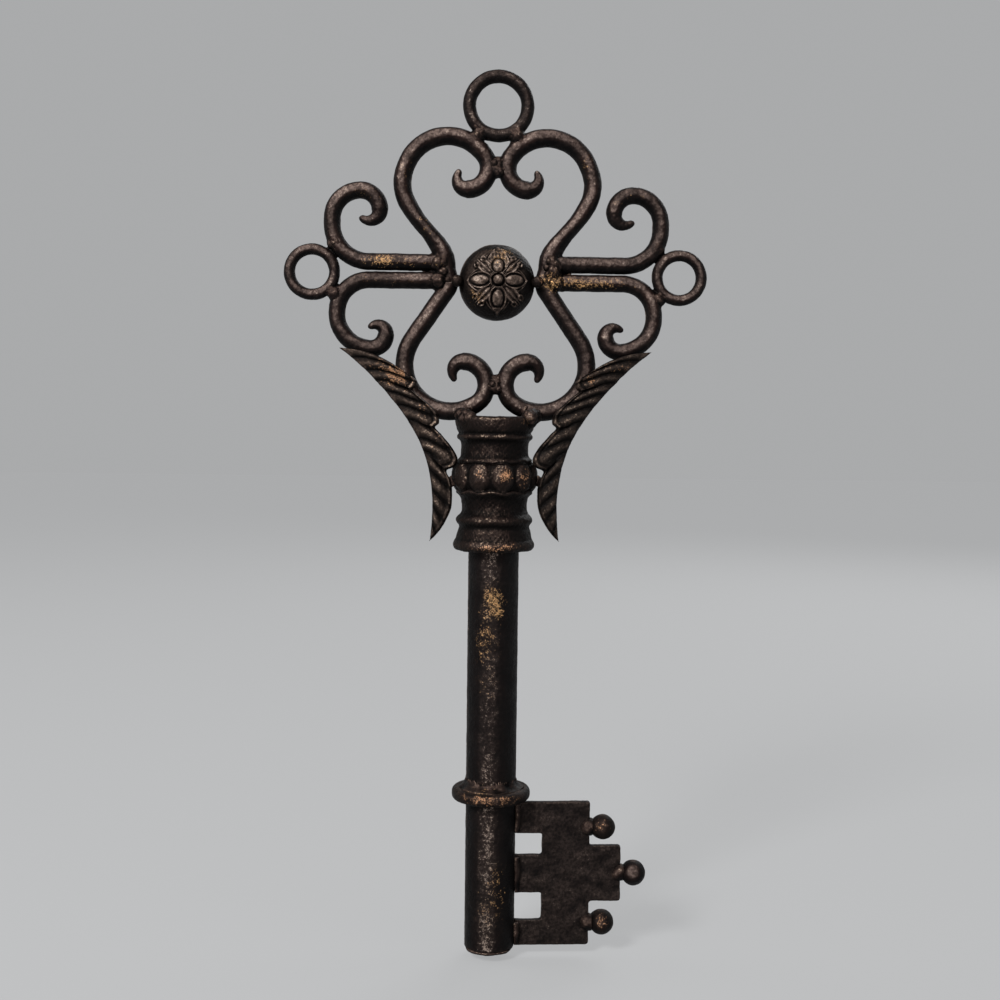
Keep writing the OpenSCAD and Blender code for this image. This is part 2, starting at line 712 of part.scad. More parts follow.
module bit_plate() color(black) {
    difference() {
        translate([0, bit_t / 2, tube_foot])
            rotate([90, 0, 0])
                linear_extrude(bit_t)
                    difference() {
                        plate_outline();
                        window(lower_window_lift, lower_window_h);
                        window(bit_h - upper_window_drop - upper_window_h, upper_window_h);
                    }
        shaft_bore(tube_fit);
    }
}

// The middle ball sits halfway up the tooth, and the bottom ball halfway up the notch below it
bottom_ball_lift = tooth_foot / 2;
ball_x = [body_edge, tooth_edge, body_edge];
ball_z = [plate_top - top_ball_drop, tube_foot + tooth_top - tooth_h / 2,
    tube_foot + bottom_ball_lift];
module bit_ball(i) {
    translate([ball_x[i] + ball_d / 2 + weld_gap, 0, ball_z[i]]) sphere(d = ball_d);
}

module bit_ball_top() color(copper) bit_ball(0);
module bit_ball_middle() color(brown) bit_ball(1);
module bit_ball_bottom() color(copper) bit_ball(2);

// Leaves: a patch of rungs from the smooth outer edge to the lobed inner edge. Each rung has the
// number of its strand, its outer point and its inner point. A point is drawn from the leaf's
// tip, first along the line to its foot and then towards the key.
leaf_rungs = [[0, [0, 0], [26, 25.3]], [1, [6.5, 3.4], [28, 26.9]], [1.5, [11, 5.4], [29.3, 27.6]],
    [2, [15.5, 7.3], [31, 27.6]], [2.5, [18.6, 8.5], [32.6, 26.3]], [3, [21.7, 9.4], [33.6, 24.2]],
    [3.4, [25, 10.6], [37.2, 26]], [4, [28.5, 11.7], [42.5, 28.3]], [4.6, [33.4, 13], [47, 30.1]],
    [5, [37, 14], [50.3, 30.5]], [5.5, [41.5, 14.9], [53.6, 29.3]], [6, [46, 15.7], [55, 26.6]],
    [6.4, [51, 16.3], [60, 28.2]], [7, [56.5, 16.7], [68, 30.2]], [7.5, [59.5, 16.7], [73.8, 30.3]],
    [7.85, [61.5, 16.6], [76.6, 27.5]], [8, [63, 16.5], [76.9, 22.9]],
    [8.5, [68, 15.9], [82, 22.6]], [9, [73, 15], [87, 21.3]], [10, [82.3, 12.3], [94.5, 17.3]],
    [11, [89.7, 9.3], [100, 11.3]], [12, [97, 5.6], [103.5, 5.2]], [13, [105, 1], [105, 0.6]]];
leaf_outer = [for (rung = leaf_rungs) rung[1]];
leaf_inner = [for (rung = leaf_rungs) rung[2]];
leaf_last = len(leaf_rungs) - 1;
leaf_strands = leaf_rungs[leaf_last][0];
leaf_drawn_len = leaf_outer[leaf_last][0];
leaf_bow = 3.4;
leaf_bow_end = 4;
leaf_foot_fade = 1.5;
rib_cells = 3;
rungs = leaf_last * rib_cells;
cells_across = 7;

// The leaf lies in front of the scrolls, as its upper end crosses them
leaf_back_y = -(max(heart_bar, side_bar) / 2 + weld_gap);

// Strand number at position u counted in rungs
function leaf_strand(u) =
    let (i = min(floor(u), leaf_last - 1))
    leaf_rungs[i][0] + (u - i) * (leaf_rungs[i + 1][0] - leaf_rungs[i][0]);

// Smooth curve through a list of points, at position u counted in points
function curve_at(list, u) =
    let (i = min(floor(u), len(list) - 2), t = u - i, a = list[max(i - 1, 0)], b = list[i],
         c = list[i + 1], d = list[min(i + 2, len(list) - 1)])
    0.5 * (2 * b + (c - a) * t + (2 * a - 5 * b + 4 * c - d) * t * t
        + (3 * b - a - 3 * c + d) * t * t * t);

leaf_bearing = -48.1;
leaf_tip = lower_side_lobe
    + (lower_side_lobe_r + side_bar / 2 + leaf_tip_gap) * unit(leaf_bearing);
leaf_foot = [foot_ring_d / 2 + leaf_foot_out, collar_bottom + leaf_foot_lift];
leaf_scale = gap_to(leaf_tip, leaf_foot) / leaf_drawn_len;
leaf_lean = bearing(leaf_tip, leaf_foot);

function leaf_at(u, v) =
    let (o = curve_at(leaf_outer, u), e = curve_at(leaf_inner, u),
         fade = max(0, 1 - leaf_strand(u) / leaf_bow_end), p = o + (e - o) * v,
         bowed = p + leaf_bow * fade * sin(180 * v) * unit(bearing(o, e) + 90))
    leaf_tip + leaf_scale * (bowed[0] * unit(leaf_lean) + bowed[1] * unit(leaf_lean - 90));
rib_round_power = 0.6;
rib_fall_power = 0.5;
rib_edge_angle = 20;
rib_span_angle = 150;
// Past the last notch the ribs calm down towards the inner edge of the blade
blade_from = 8;
blade_calm = 0.6;
function blade_height(strand, v) = strand > blade_from ? 1 - blade_calm * v : 1;
function leaf_rib(strand, v) = pow(abs(sin(180 * strand)), rib_round_power)
    * pow(sin(rib_edge_angle + rib_span_angle * v), rib_fall_power) * blade_height(strand, v)
    * min(1, (leaf_strands - strand) / leaf_foot_fade);

module leaf() {
    points = [for (back = [0, 1], i = [0:rungs], j = [0:cells_across])
        let (u = i / rib_cells, v = j / cells_across, p = leaf_at(u, v),
             y = leaf_back_y - (1 - back) * (leaf_edge_t + leaf_rib_h * leaf_rib(leaf_strand(u), v)))
        [p[0], y, p[1]]];
    row = cells_across + 1;
    sheet = (rungs + 1) * row;
    top_faces = [for (i = [0:rungs - 1], j = [0:cells_across - 1])
        let (a = i * row + j) each [[a, a + 1, a + row + 1], [a, a + row + 1, a + row]]];
    back_faces = [for (f = top_faces) [f[2] + sheet, f[1] + sheet, f[0] + sheet]];
    long_sides = [for (i = [0:rungs - 1], edge = [0, 1])
        let (a = i * row + edge * cells_across, b = a + row)
        each edge == 0 ? [[a, b, b + sheet], [a, b + sheet, a + sheet]]
            : [[b, a, a + sheet], [b, a + sheet, b + sheet]]];
    end_sides = [for (j = [0:cells_across - 1], edge = [0, 1])
        let (a = edge * rungs * row + j, b = a + 1)
        each edge == 0 ? [[b, a, a + sheet], [b, a + sheet, b + sheet]]
            : [[a, b, b + sheet], [a, b + sheet, a + sheet]]];
    polyhedron(points = points,
        faces = concat(top_faces, back_faces, long_sides, end_sides), convexity = 10);
}

module leaf_right() color(copper) leaf();
module leaf_left() color(copper) mirror([1, 0, 0]) leaf();

// Welds, cut to the pieces that they join
module nugget(p, d, y) translate([p[0], y, p[1]]) sphere(d = d);

module ring_welds() color(black) both_sides() {
    lobe = [upper_lobe_x, upper_lobe_z];
    difference() {
        nugget((top_ring_r + top_ring_bar / 2) * unit(bearing([0, 0], lobe)), nugget_d, 0);
        hanging_ring();
        ring_at(lobe, upper_lobe_r, heart_bar);
    }
    for (elbow = [[upper_elbow, upper_elbow_r], [lower_elbow, lower_elbow_r]])
        difference() {
            nugget(side_ring_c + (side_ring_r + side_ring_bar / 2)
                * unit(bearing(side_ring_c, elbow[0])), nugget_d, 0);
            side_ring();
            ring_at(elbow[0], elbow[1], side_bar);
        }
}

module curl_welds() color(black) {
    upper_joint = upper_lobe_z + (upper_lobe_r - upper_curl_r) * cos(upper_wrap);
    lower_joint = lower_lobe_z - (lower_lobe_r - lower_curl_r) * cos(lower_wrap);
    for (joint = [[upper_joint, upper_curl_x, upper_curl_r], [lower_joint, lower_curl_x, lower_curl_r]])
        difference() {
            nugget([0, joint[0]], nugget_d, 0);
            both_sides() ring_at([joint[1], joint[0]], joint[2], heart_bar);
        }
}

// One ring that clears the feet of both heart scrolls beside the rosette
hub_bend_r = (upper_foot_r + lower_foot_r) / 2;
hub_front = 1;
module hub_nugget() {
    difference() {
        union() {
            nugget([upper_run_x - weld_gap, pair_z + pair_pitch / 2], hub_nugget_d, -hub_front);
            nugget([lower_run_x - weld_gap, pair_z - pair_pitch / 2], hub_nugget_d, -hub_front);
        }
        above_hub() heart_foot_bars(upper_lobe, upper_lobe_r, upper_foot_r);
        ring_at([hub_x + hub_bend_r, hub_z], hub_bend_r, heart_bar + 2 * weld_gap);
        above_pair() bar([upper_run_x, pair_pitch / 2], [upper_elbow_x, pair_pitch / 2], side_bar);
        below_pair() bar([lower_run_x, pair_pitch / 2], [lower_elbow_x, pair_pitch / 2], side_bar);
    }
}

// Tack on the back of the dome's edge band
module dome_tack() {
    difference() {
        nugget([dome_d / 2 + weld_gap / 2, hub_z], tack_d, dome_base);
        hub_post();
        translate([dome_d / 2 - tack_d, dome_base - tack_d, hub_z - tack_d])
            cube([2 * tack_d, tack_d, 2 * tack_d]);
    }
}

module hub_welds() color(brown) both_sides() {
    hub_nugget();
    dome_tack();
}

collar_nugget_y = 5;
module collar_welds() color(brown) both_sides() {
    difference() {
        nugget([lower_curl_x - weld_gap, collar_top + weld_gap], nugget_d, -collar_nugget_y);
        lower_rings(0);
        translate([0, 0, collar_bottom]) cylinder(h = collar_h, d = rim_d);
    }
}

// The leaf's welds sit behind it, on its flat back: a tack on the scroll that it crosses and a
// rod to the collar's band. Each is placed by a rung and a share of the way across the leaf.
leaf_tack_rung = 1.2;
leaf_tack_across = 0.22;
leaf_rod_rung = 18;
leaf_rod_across = 0.7;
module before_leaf_back() {
    reach = foot_ring_d / 2 + leaf_foot_out + leaf_drawn_len;
    translate([0, leaf_back_y - nugget_d, collar_bottom])
        cube([reach, nugget_d, collar_h + leaf_drawn_len]);
}

module leaf_welds() color(black) both_sides() {
    rod_foot = [core_r - over, band_mid];
    rod_end = leaf_at(leaf_rod_rung, leaf_rod_across);
    difference() {
        nugget(leaf_at(leaf_tack_rung, leaf_tack_across), leaf_tack_d, leaf_back_y);
        ring_at(lower_side_lobe, lower_side_lobe_r, side_bar);
        before_leaf_back();
    }
    difference() {
        translate([rod_foot[0], leaf_back_y, rod_foot[1]])
            rotate([0, 90 - bearing(rod_foot, rod_end), 0])
                cylinder(h = gap_to(rod_foot, rod_end), d = leaf_rod_d);
        before_leaf_back();
        for (i = [0:lobe_count - 1])
            translate([0, 0, collar_top]) collar_lobe(first_lobe + 360 * i / lobe_count);
        translate([0, 0, collar_bottom]) cylinder(h = collar_h, d = band_core_d);
    }
}

bit_bead_short = 0.8;
module bit_welds() color(black) {
    tabs = [[0, lower_window_lift],
        [lower_window_lift + lower_window_h, bit_h - upper_window_drop - upper_window_h],
        [bit_h - upper_window_drop, bit_h]];
    difference() {
        union() {
            for (tab = tabs, side = [-1, 1])
                translate([tube_r + weld_gap, side * (bit_t / 2 + weld_gap),
                        tube_foot + tab[0] + bit_bead_short])
                    cylinder(h = tab[1] - tab[0] - 2 * bit_bead_short, r = bit_bead_r);
        }
        shaft_bore(0);
        bit_plate();
    }
}

module ball_welds() color(brown) {
    for (i = [0:2])
        difference() {
            nugget([ball_x[i] - weld_gap, ball_z[i]], ball_nugget_d, 0);
            bit_plate();
            bit_ball(i);
        }
}

hanging_ring();
ring_left();
ring_right();
upper_scroll_left();
upper_scroll_right();
lower_scroll_left();
lower_scroll_right();
side_upper_scroll_left();
side_upper_scroll_right();
side_lower_scroll_left();
side_lower_scroll_right();
rosette_dome();
rosette_bead_left();
rosette_bead_right();
leaf_left();
leaf_right();
collar();
shaft_tube();
shaft_end_cap();
shaft_ring();
bit_plate();
bit_ball_top();
bit_ball_middle();
bit_ball_bottom();
ring_welds();
curl_welds();
hub_welds();
collar_welds();
leaf_welds();
shaft_ring_weld();
end_cap_weld();
bit_welds();
ball_welds();
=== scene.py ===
"""Looks of the decorative wall key. The front is -Y, and up is Z. Sizes of the key are in millimetres
until a mesh is made, and those of the floor and the lamps are in metres."""
import math

import bmesh
import bpy
import numpy as np
from mathutils import Matrix, Vector


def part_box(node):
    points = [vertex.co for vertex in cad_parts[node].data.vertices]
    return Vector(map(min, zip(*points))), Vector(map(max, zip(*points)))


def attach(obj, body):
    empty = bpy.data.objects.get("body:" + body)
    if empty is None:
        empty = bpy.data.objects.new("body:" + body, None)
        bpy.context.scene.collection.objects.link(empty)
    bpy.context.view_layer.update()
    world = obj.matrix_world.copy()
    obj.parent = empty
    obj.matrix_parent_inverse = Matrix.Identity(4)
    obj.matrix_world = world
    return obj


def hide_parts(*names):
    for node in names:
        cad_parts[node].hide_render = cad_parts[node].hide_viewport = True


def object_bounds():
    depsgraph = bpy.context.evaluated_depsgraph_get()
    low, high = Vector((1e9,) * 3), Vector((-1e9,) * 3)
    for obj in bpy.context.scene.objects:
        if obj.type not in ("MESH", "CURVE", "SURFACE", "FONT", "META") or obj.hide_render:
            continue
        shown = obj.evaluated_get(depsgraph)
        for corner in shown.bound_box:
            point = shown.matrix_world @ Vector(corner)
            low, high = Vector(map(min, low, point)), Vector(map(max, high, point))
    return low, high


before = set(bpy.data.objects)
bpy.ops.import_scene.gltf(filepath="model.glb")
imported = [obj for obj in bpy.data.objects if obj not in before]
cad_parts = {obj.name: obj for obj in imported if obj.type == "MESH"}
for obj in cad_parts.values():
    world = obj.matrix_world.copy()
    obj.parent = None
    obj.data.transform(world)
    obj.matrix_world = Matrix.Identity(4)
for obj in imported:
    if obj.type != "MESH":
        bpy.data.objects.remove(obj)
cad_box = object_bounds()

MM = 0.001
BODY = "root"
BOX_INSET = 0.02


# Sizes from the frame
def box_mm(node):
    low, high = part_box(node)
    return np.array(low) / MM, np.array(high) / MM


dome_low, dome_high = box_mm("rosette_dome")
HUB_Z = (dome_low[2] + dome_high[2]) / 2
DOME_R = (dome_high[0] - dome_low[0]) / 2
COLLAR_TOP = box_mm("collar")[1][2]
BOX_LOW = np.array(cad_box[0]) / MM + BOX_INSET
BOX_HIGH = np.array(cad_box[1]) / MM - BOX_INSET


# Formulas that several shapes share
def ridge(distance, width):
    return np.exp(-(distance / width) ** 2)


def step(value, low, high):
    t = np.clip((value - low) / (high - low), 0, 1)
    return t * t * (3 - 2 * t)


def spline(a, b, c, d, t):
    """A point between b and c of a smooth curve through a, b, c and d."""
    square = 2 * a - 5 * b + 4 * c - d
    cube = 3 * b - a - 3 * c + d
    return 0.5 * (2 * b + (c - a) * t + square * t ** 2 + cube * t ** 3)


def rough(points, amount, shortest, longest, seed, count=18):
    """Smooth bumps of about +-amount, as a sum of waves in fixed random directions."""
    draw = np.random.default_rng(seed)
    way = draw.normal(size=(count, 3))
    way /= np.linalg.norm(way, axis=1)[:, None]
    wave = way * (2 * np.pi / draw.uniform(shortest, longest, count))[:, None]
    phase = draw.uniform(0, 2 * np.pi, count)
    return amount * np.sin(points @ wave.T + phase).sum(axis=1) / math.sqrt(count)


# Reading and writing meshes
def vertex_normals(mesh):
    normals = np.empty(len(mesh.vertices) * 3)
    mesh.vertex_normals.foreach_get("vector", normals)
    return normals.reshape(-1, 3)


def vertex_points(mesh):
    points = np.empty(len(mesh.vertices) * 3)
    mesh.vertices.foreach_get("co", points)
    return points.reshape(-1, 3) / MM


def move_points(mesh, points):
    mesh.vertices.foreach_set("co", (points * MM).ravel())
    mesh.update()


def paint(mesh, name, values):
    layer = mesh.attributes.new(name, "FLOAT", "POINT")
    layer.data.foreach_set("value", np.ascontiguousarray(values, dtype=np.float32))


def face_outwards(mesh):
    """Turns the faces of a closed mesh over if they all face into it."""
    bm = bmesh.new()
    bm.from_mesh(mesh)
    if bm.calc_volume(signed=True) < 0:
        bmesh.ops.reverse_faces(bm, faces=bm.faces)
    bm.to_mesh(mesh)
    bm.free()
    mesh.update()
    return mesh


def squares(corners, along, opposite, across):
    """Faces of four corners each, from four equal arrays of point numbers."""
    return np.stack([corners, along, opposite, across], axis=-1).reshape(-1, 4).tolist()


def turned_mesh(points):
    """A closed mesh over rings of points (rings, columns, 3), with a point in each end."""
    rows, cols = points.shape[:2]
    left = np.arange(rows * cols).reshape(rows, cols)
    right = np.roll(left, -1, axis=1)
    faces = squares(left[:-1], right[:-1], right[1:], left[1:])
    flat = np.vstack([points.reshape(-1, 3), points[0].mean(axis=0), points[-1].mean(axis=0)])
    first, last = rows * cols, rows * cols + 1
    for k in range(cols):
        faces.append([first, right[0, k], left[0, k]])
        faces.append([last, left[-1, k], right[-1, k]])
    mesh = bpy.data.meshes.new("turned")
    mesh.from_pydata((flat * MM).tolist(), [], faces)
    return face_outwards(mesh)


def sheet_mesh(front, back):
    """A closed mesh between two grids of points that face away from each other."""
    rows, cols = front.shape[:2]
    near = np.arange(rows * cols).reshape(rows, cols)
    far = near + rows * cols
    faces = squares(near[:-1, :-1], near[:-1, 1:], near[1:, 1:], near[1:, :-1])
    faces += squares(far[1:, :-1], far[1:, 1:], far[:-1, 1:], far[:-1, :-1])
    rim = list(near[0, :]) + list(near[1:, -1]) + list(near[-1, -2::-1]) + list(near[-2:0:-1, 0])
    for k, here in enumerate(rim):
        there = rim[(k + 1) % len(rim)]
        faces.append([here, here + rows * cols, there + rows * cols, there])
    mesh = bpy.data.meshes.new("sheet")
    flat = np.vstack([front.reshape(-1, 3), back.reshape(-1, 3)])
    mesh.from_pydata((flat * MM).tolist(), [], faces)
    return face_outwards(mesh)


# Worked surfaces: shortest and longest wave of the hammer marks and of the pits
FORGED = ((5, 14), (1.2, 3.5))
CAST = ((4, 12), (0.9, 2.6))
LUMPY = ((2.2, 6), (0.9, 2))
# Heights of the hammer marks and of the pits
ROSE_MARKS, COLLAR_MARKS, LEAF_MARKS = (0.07, 0.035), (0.13, 0.06), (0.07, 0.05)
FORGED_PITS = 0.03


def uneven(points, hammer, pits, seed, waves):
    marks, grains = waves
    return rough(points, hammer, *marks, seed) + rough(points, pits, *grains, seed + 1)


def roughen(mesh, hammer, pits, seed, waves):
    """Works a mesh with hammer marks and pits, and returns their height at each point."""
    points, normals = vertex_points(mesh), vertex_normals(mesh)
    bumps = uneven(points, hammer, pits, seed, waves)
    move_points(mesh, points + normals * bumps[:, None])
    return bumps


def finished(obj):
    """The object's mesh with its modifiers applied. The object itself is removed."""
    graph = bpy.context.evaluated_depsgraph_get()
    mesh = bpy.data.meshes.new_from_object(obj.evaluated_get(graph))
    bpy.data.objects.remove(obj)
    return mesh


def skin_over(nodes, voxel, smoothing, lumps=()):
    """One soft skin over the solids of some nodes and lumps (x, y, z, radius)."""
    bm = bmesh.new()
    for node in nodes:
        bm.from_mesh(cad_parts[node].data)
    for x, y, z, r in lumps:
        place = Matrix.Translation(Vector((x, y, z)) * MM)
        bmesh.ops.create_icosphere(bm, subdivisions=3, radius=r * MM, matrix=place)
    mesh = bpy.data.meshes.new("skin")
    bm.to_mesh(mesh)
    bm.free()
    obj = bpy.data.objects.new("skin", mesh)
    bpy.context.collection.objects.link(obj)
    remesh = obj.modifiers.new("skin", "REMESH")
    remesh.mode = "VOXEL"
    remesh.voxel_size = voxel * MM
    smooth = obj.modifiers.new("soft", "SMOOTH")
    smooth.factor = 0.5
    smooth.iterations = smoothing
    return finished(obj)


def recast(node, voxel, smoothing, hammer, seed, lumps=()):
    """A node's solid with the uneven surface of hand-worked metal, and the height of its marks."""
    mesh = skin_over([node], voxel, smoothing, lumps)
    return mesh, roughen(mesh, hammer, FORGED_PITS, seed, FORGED)


# Places where the patina is rubbed to gold or copper: x, z, reach along x and z, strength
RUBBED = [
    (-57.5, -76, 9, 3.5, 1.0), (-40, -76, 8, 3, 0.45), (46, -86, 20, 4, 0.9), (-57, -86, 14, 3, 0.35),
    (26, -86, 4, 5, 0.9), (-36, -62, 5, 9, 0.4), (-46, -32, 4, 14, 0.2), (44, -30, 5, 13, 0.15),
    (62, -44, 10, 4, 0.3), (-64, -45, 10, 4, 0.3), (-29, -79, 3, 4, 0.3),
    (1.5, HUB_Z + 11.5, 6.5, 6, 1.0), (-10, HUB_Z - 8, 5, 4, 0.9),
    (-8.7, -181.5, 2.6, 3, 0.8), (4.6, -181.5, 3.2, 3.4, 1.0), (15, -182, 3.4, 6, 0.8),
    (-12.5, -152, 4, 3, 0.3), (14.5, -155, 3, 4, 0.35), (0, -217, 14, 2.5, 0.7),
    (-1, -241, 5, 6, 0.95), (1.5, -249, 4, 4, 0.9), (-4, -262, 5, 11, 0.75), (-3, -285, 5, 12, 0.35),
    (-6, -341, 10, 4, 0.9), (8, -342, 6, 3, 0.6), (2, -388, 6, 12, 0.5), (-1, -405, 6, 9, 0.3),
    (56, -359.5, 3.4, 3.4, 0.8), (57, -407, 3.6, 3.6, 0.8), (86, -383, 3, 3, 0.4),
]
LEAF_RUBBED = [
    (-47, -133, 8, 6, 1.0), (-57, -127, 7, 4, 0.6), (-36, -148, 5, 7, 0.4), (-29, -165, 3, 8, 0.3),
    (47, -134, 5, 5, 0.8), (62, -127, 8, 5, 0.35), (36, -150, 6, 7, 0.3),
]
# Height above the smoothed surface from which a crest is worn, then gain and limit of its wear
CREST_START = 0.09
CREST_GAIN = 3
CREST_LIMIT = 0.7
# Gain from a crease's depth to its painted shade
CREASE_GAIN = 9


def gilding(points, normals, places):
    """How far each point is rubbed bright, from 0 to 1: the patches, on surfaces that face forward."""
    forward = np.clip(-1.5 * normals[:, 1] - 0.25, 0, 1)
    amount = np.zeros(len(points))
    for x, z, along, up, strength in places:
        near = ((points[:, 0] - x) / along) ** 2 + ((points[:, 2] - z) / up) ** 2
        amount += strength * np.exp(-near)
    return np.clip(amount, 0, 1) * forward


def creases(mesh, rounds=16):
    """How far each point lies under the smoothed surface, in mm: above 0 in creases, below on crests."""
    points = soft = vertex_points(mesh)
    ends = np.empty(len(mesh.edges) * 2, dtype=np.int64)
    mesh.edges.foreach_get("vertices", ends)
    here = np.concatenate([ends[::2], ends[1::2]])
    there = np.concatenate([ends[1::2], ends[::2]])
    count = np.bincount(here, minlength=len(points))[:, None]
    for _ in range(rounds):
        total = [np.bincount(here, weights=soft[there, k], minlength=len(points)) for k in range(3)]
        soft = 0.4 * soft + 0.6 * np.stack(total, axis=1) / count
    return ((soft - points) * vertex_normals(mesh)).sum(axis=1)


def piece(name, mesh, material, worn=0.0, groove=0.0, extra_darkening=0.0, places=RUBBED):
    """Names, colours and mounts a finished mesh, and hides the node that it stands for."""
    mesh.name = name
    move_points(mesh, np.clip(vertex_points(mesh), BOX_LOW, BOX_HIGH))
    paint(mesh, "gilt", gilding(vertex_points(mesh), vertex_normals(mesh), places))
    depth = creases(mesh)
    crest = np.clip((-depth - CREST_START) * CREST_GAIN, 0, CREST_LIMIT)
    paint(mesh, "worn", np.clip(worn + crest, 0, 1))
    # Painted shade: the groove attribute darkens creases, the grooves given and, by extra_darkening, the rest
    crease = np.clip(depth * CREASE_GAIN, 0, 1)
    paint(mesh, "groove", np.clip(np.maximum(groove, crease) + extra_darkening * (1 - crease), 0, 1))
    mesh.polygons.foreach_set("use_smooth", [True] * len(mesh.polygons))
    mesh.materials.clear()
    mesh.materials.append(material)
    obj = bpy.data.objects.new(name, mesh)
    bpy.context.collection.objects.link(obj)
    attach(obj, BODY)
    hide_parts(name)


# Materials
class Graph:
    """Short names for the shader nodes that the finishes are made of."""

    def __init__(self, tree):
        self.tree = tree
        self.place = None
        tree.nodes.clear()

    def add(self, kind):
        return self.tree.nodes.new(kind)

    def link(self, output, slot):
        self.tree.links.new(output, slot)

    def put(self, slot, value):
        if hasattr(value, "is_output"):
            self.link(value, slot)
        elif hasattr(slot.default_value, "__len__") and len(slot.default_value) == 4:
            slot.default_value = (*value, 1)
        else:
            slot.default_value = value

    def speckle(self, size_mm, detail, roughness, low, high):
        """Noise of one grain size, with its values from low to high spread over 0 to 1."""
        if self.place is None:
            self.place = self.add("ShaderNodeTexCoord").outputs["Object"]
        node = self.add("ShaderNodeTexNoise")
        self.put(node.inputs["Scale"], 1 / (size_mm * MM))
        self.put(node.inputs["Detail"], detail)
        self.put(node.inputs["Roughness"], roughness)
        self.link(self.place, node.inputs["Vector"])
        return self.band(node.outputs["Fac"], low, high)

    def calc(self, kind, *values, clamp=False):
        node = self.add("ShaderNodeMath")
        node.operation = kind
        node.use_clamp = clamp
        for slot, value in zip(node.inputs, values):
            self.put(slot, value)
        return node.outputs[0]

    def times(self, a, b, clamp=False):
        return self.calc("MULTIPLY", a, b, clamp=clamp)

    def plus(self, a, share, b):
        """a times a share, plus b."""
        return self.calc("MULTIPLY_ADD", a, share, b)

    def most(self, a, b):
        return self.calc("MAXIMUM", a, b)

    def band(self, value, low, high, to_low=0.0, to_high=1.0):
        node = self.add("ShaderNodeMapRange")
        node.interpolation_type = "SMOOTHSTEP"
        for name, number in (("Value", value), ("From Min", low), ("From Max", high),
                             ("To Min", to_low), ("To Max", to_high)):
            self.put(node.inputs[name], number)
        return node.outputs["Result"]

    def blend(self, share, a, b):
        node = self.add("ShaderNodeMix")
        node.data_type = "RGBA"
        self.put(node.inputs["Factor"], share)
        for slot in node.inputs:
            if slot.identifier in ("A_Color", "B_Color"):
                self.put(slot, a if slot.identifier == "A_Color" else b)
        return [o for o in node.outputs if o.identifier == "Result_Color"][0]

    def attribute(self, title):
        node = self.add("ShaderNodeAttribute")
        node.attribute_name = title
        return node.outputs["Fac"]

    def facing(self, way):
        """How far a surface faces one direction of the object, from -1 to 1."""
        node = self.add("ShaderNodeVectorMath")
        node.operation = "DOT_PRODUCT"
        self.link(self.add("ShaderNodeNewGeometry").outputs["Normal"], node.inputs[0])
        node.inputs[1].default_value = Vector(way).normalized()
        return node.outputs["Value"]

    def bump(self, height, strength, depth_mm, normal=None):
        node = self.add("ShaderNodeBump")
        self.put(node.inputs["Strength"], strength)
        self.put(node.inputs["Distance"], depth_mm * MM)
        self.link(height, node.inputs["Height"])
        if normal is not None:
            self.link(normal, node.inputs["Normal"])
        return node.outputs["Normal"]

    def seen_or_not(self, share, seen, unseen, output):
        """Shows one shader, by a share, to rays from the camera, from gloss or through glass. All other
        rays meet the second shader."""
        rays = self.add("ShaderNodeLightPath").outputs
        bounced = self.most(rays["Is Glossy Ray"], rays["Is Transmission Ray"])
        either = self.add("ShaderNodeMixShader")
        self.link(self.times(self.most(bounced, rays["Is Camera Ray"]), share), either.inputs["Fac"])
        self.link(unseen, either.inputs[1])
        self.link(seen, either.inputs[2])
        self.link(either.outputs["Shader"], self.add(output).inputs["Surface"])


# Colours, as linear red, green and blue
BLACK, SOOT = (0.0032, 0.0028, 0.0029), (0.0050, 0.0038, 0.0034)
# Reddish painted half-light beside a painted highlight
HALF_LIGHT_RED = (0.020, 0.0096, 0.0078)
BROWN, UMBER, ASH = (0.222, 0.158, 0.134), (0.150, 0.098, 0.078), (0.215, 0.152, 0.120)
PALE, TAN = (0.36, 0.28, 0.23), (0.38, 0.28, 0.21)
GOLD, COPPER = (0.60, 0.35, 0.16), (0.62, 0.33, 0.18)
# Noise: grain size in mm, detail, roughness, and the values that become 0 and 1
FINE = (0.6, 3, 0.65, 0.36, 0.66)
GRAIN = (1.7, 4, 0.7, 0.36, 0.66)
MOTTLE = (6, 4, 0.6, 0.38, 0.64)
CLOUD = (26, 3, 0.5, 0.40, 0.62)
# A painted highlight lies on what faces forward or back, both a little up and to the left, and a weaker one
# on flanks and tops
FRONT_HIGHLIGHT_WAY, BACK_HIGHLIGHT_WAY = (-0.16, -0.92, 0.36), (-0.16, 0.92, 0.36)
RIGHT_WAY, UP_WAY = (1, 0, 0), (0, 0, 1)
# How far a surface has to face these ways for the painted highlight, the painted half-light beside it and the
# wear on crests to start and to be full
HIGHLIGHT_FACING, HALF_LIGHT_FACING, CREST_FACING = (0.83, 0.98), (0.6, 0.92), (0.0, 0.7)
FLANK_FACING, FLANK_HIGHLIGHT = (0.93, 1.0), 0.5
# Sums of wear, painted highlight and noise at which bright specks, partly painted glints, and rubbed metal
# start and are full
SPECK_RANGE, RUBBED_RANGE = (0.96, 1.26), (0.86, 1.16)
# Painted shade in creases and recesses: its share in a full crease, and its colour as a share of the metal's
CREASE_SHADE_COVER, DEEPER = 0.9, 0.35
METALLIC, SPECULAR = 0.7, 0.05
# Depths in mm
PIT_DEPTH, MOTTLE_DEPTH = 0.18, 0.3


def darker(colour):
    return [channel * DEEPER for channel in colour]


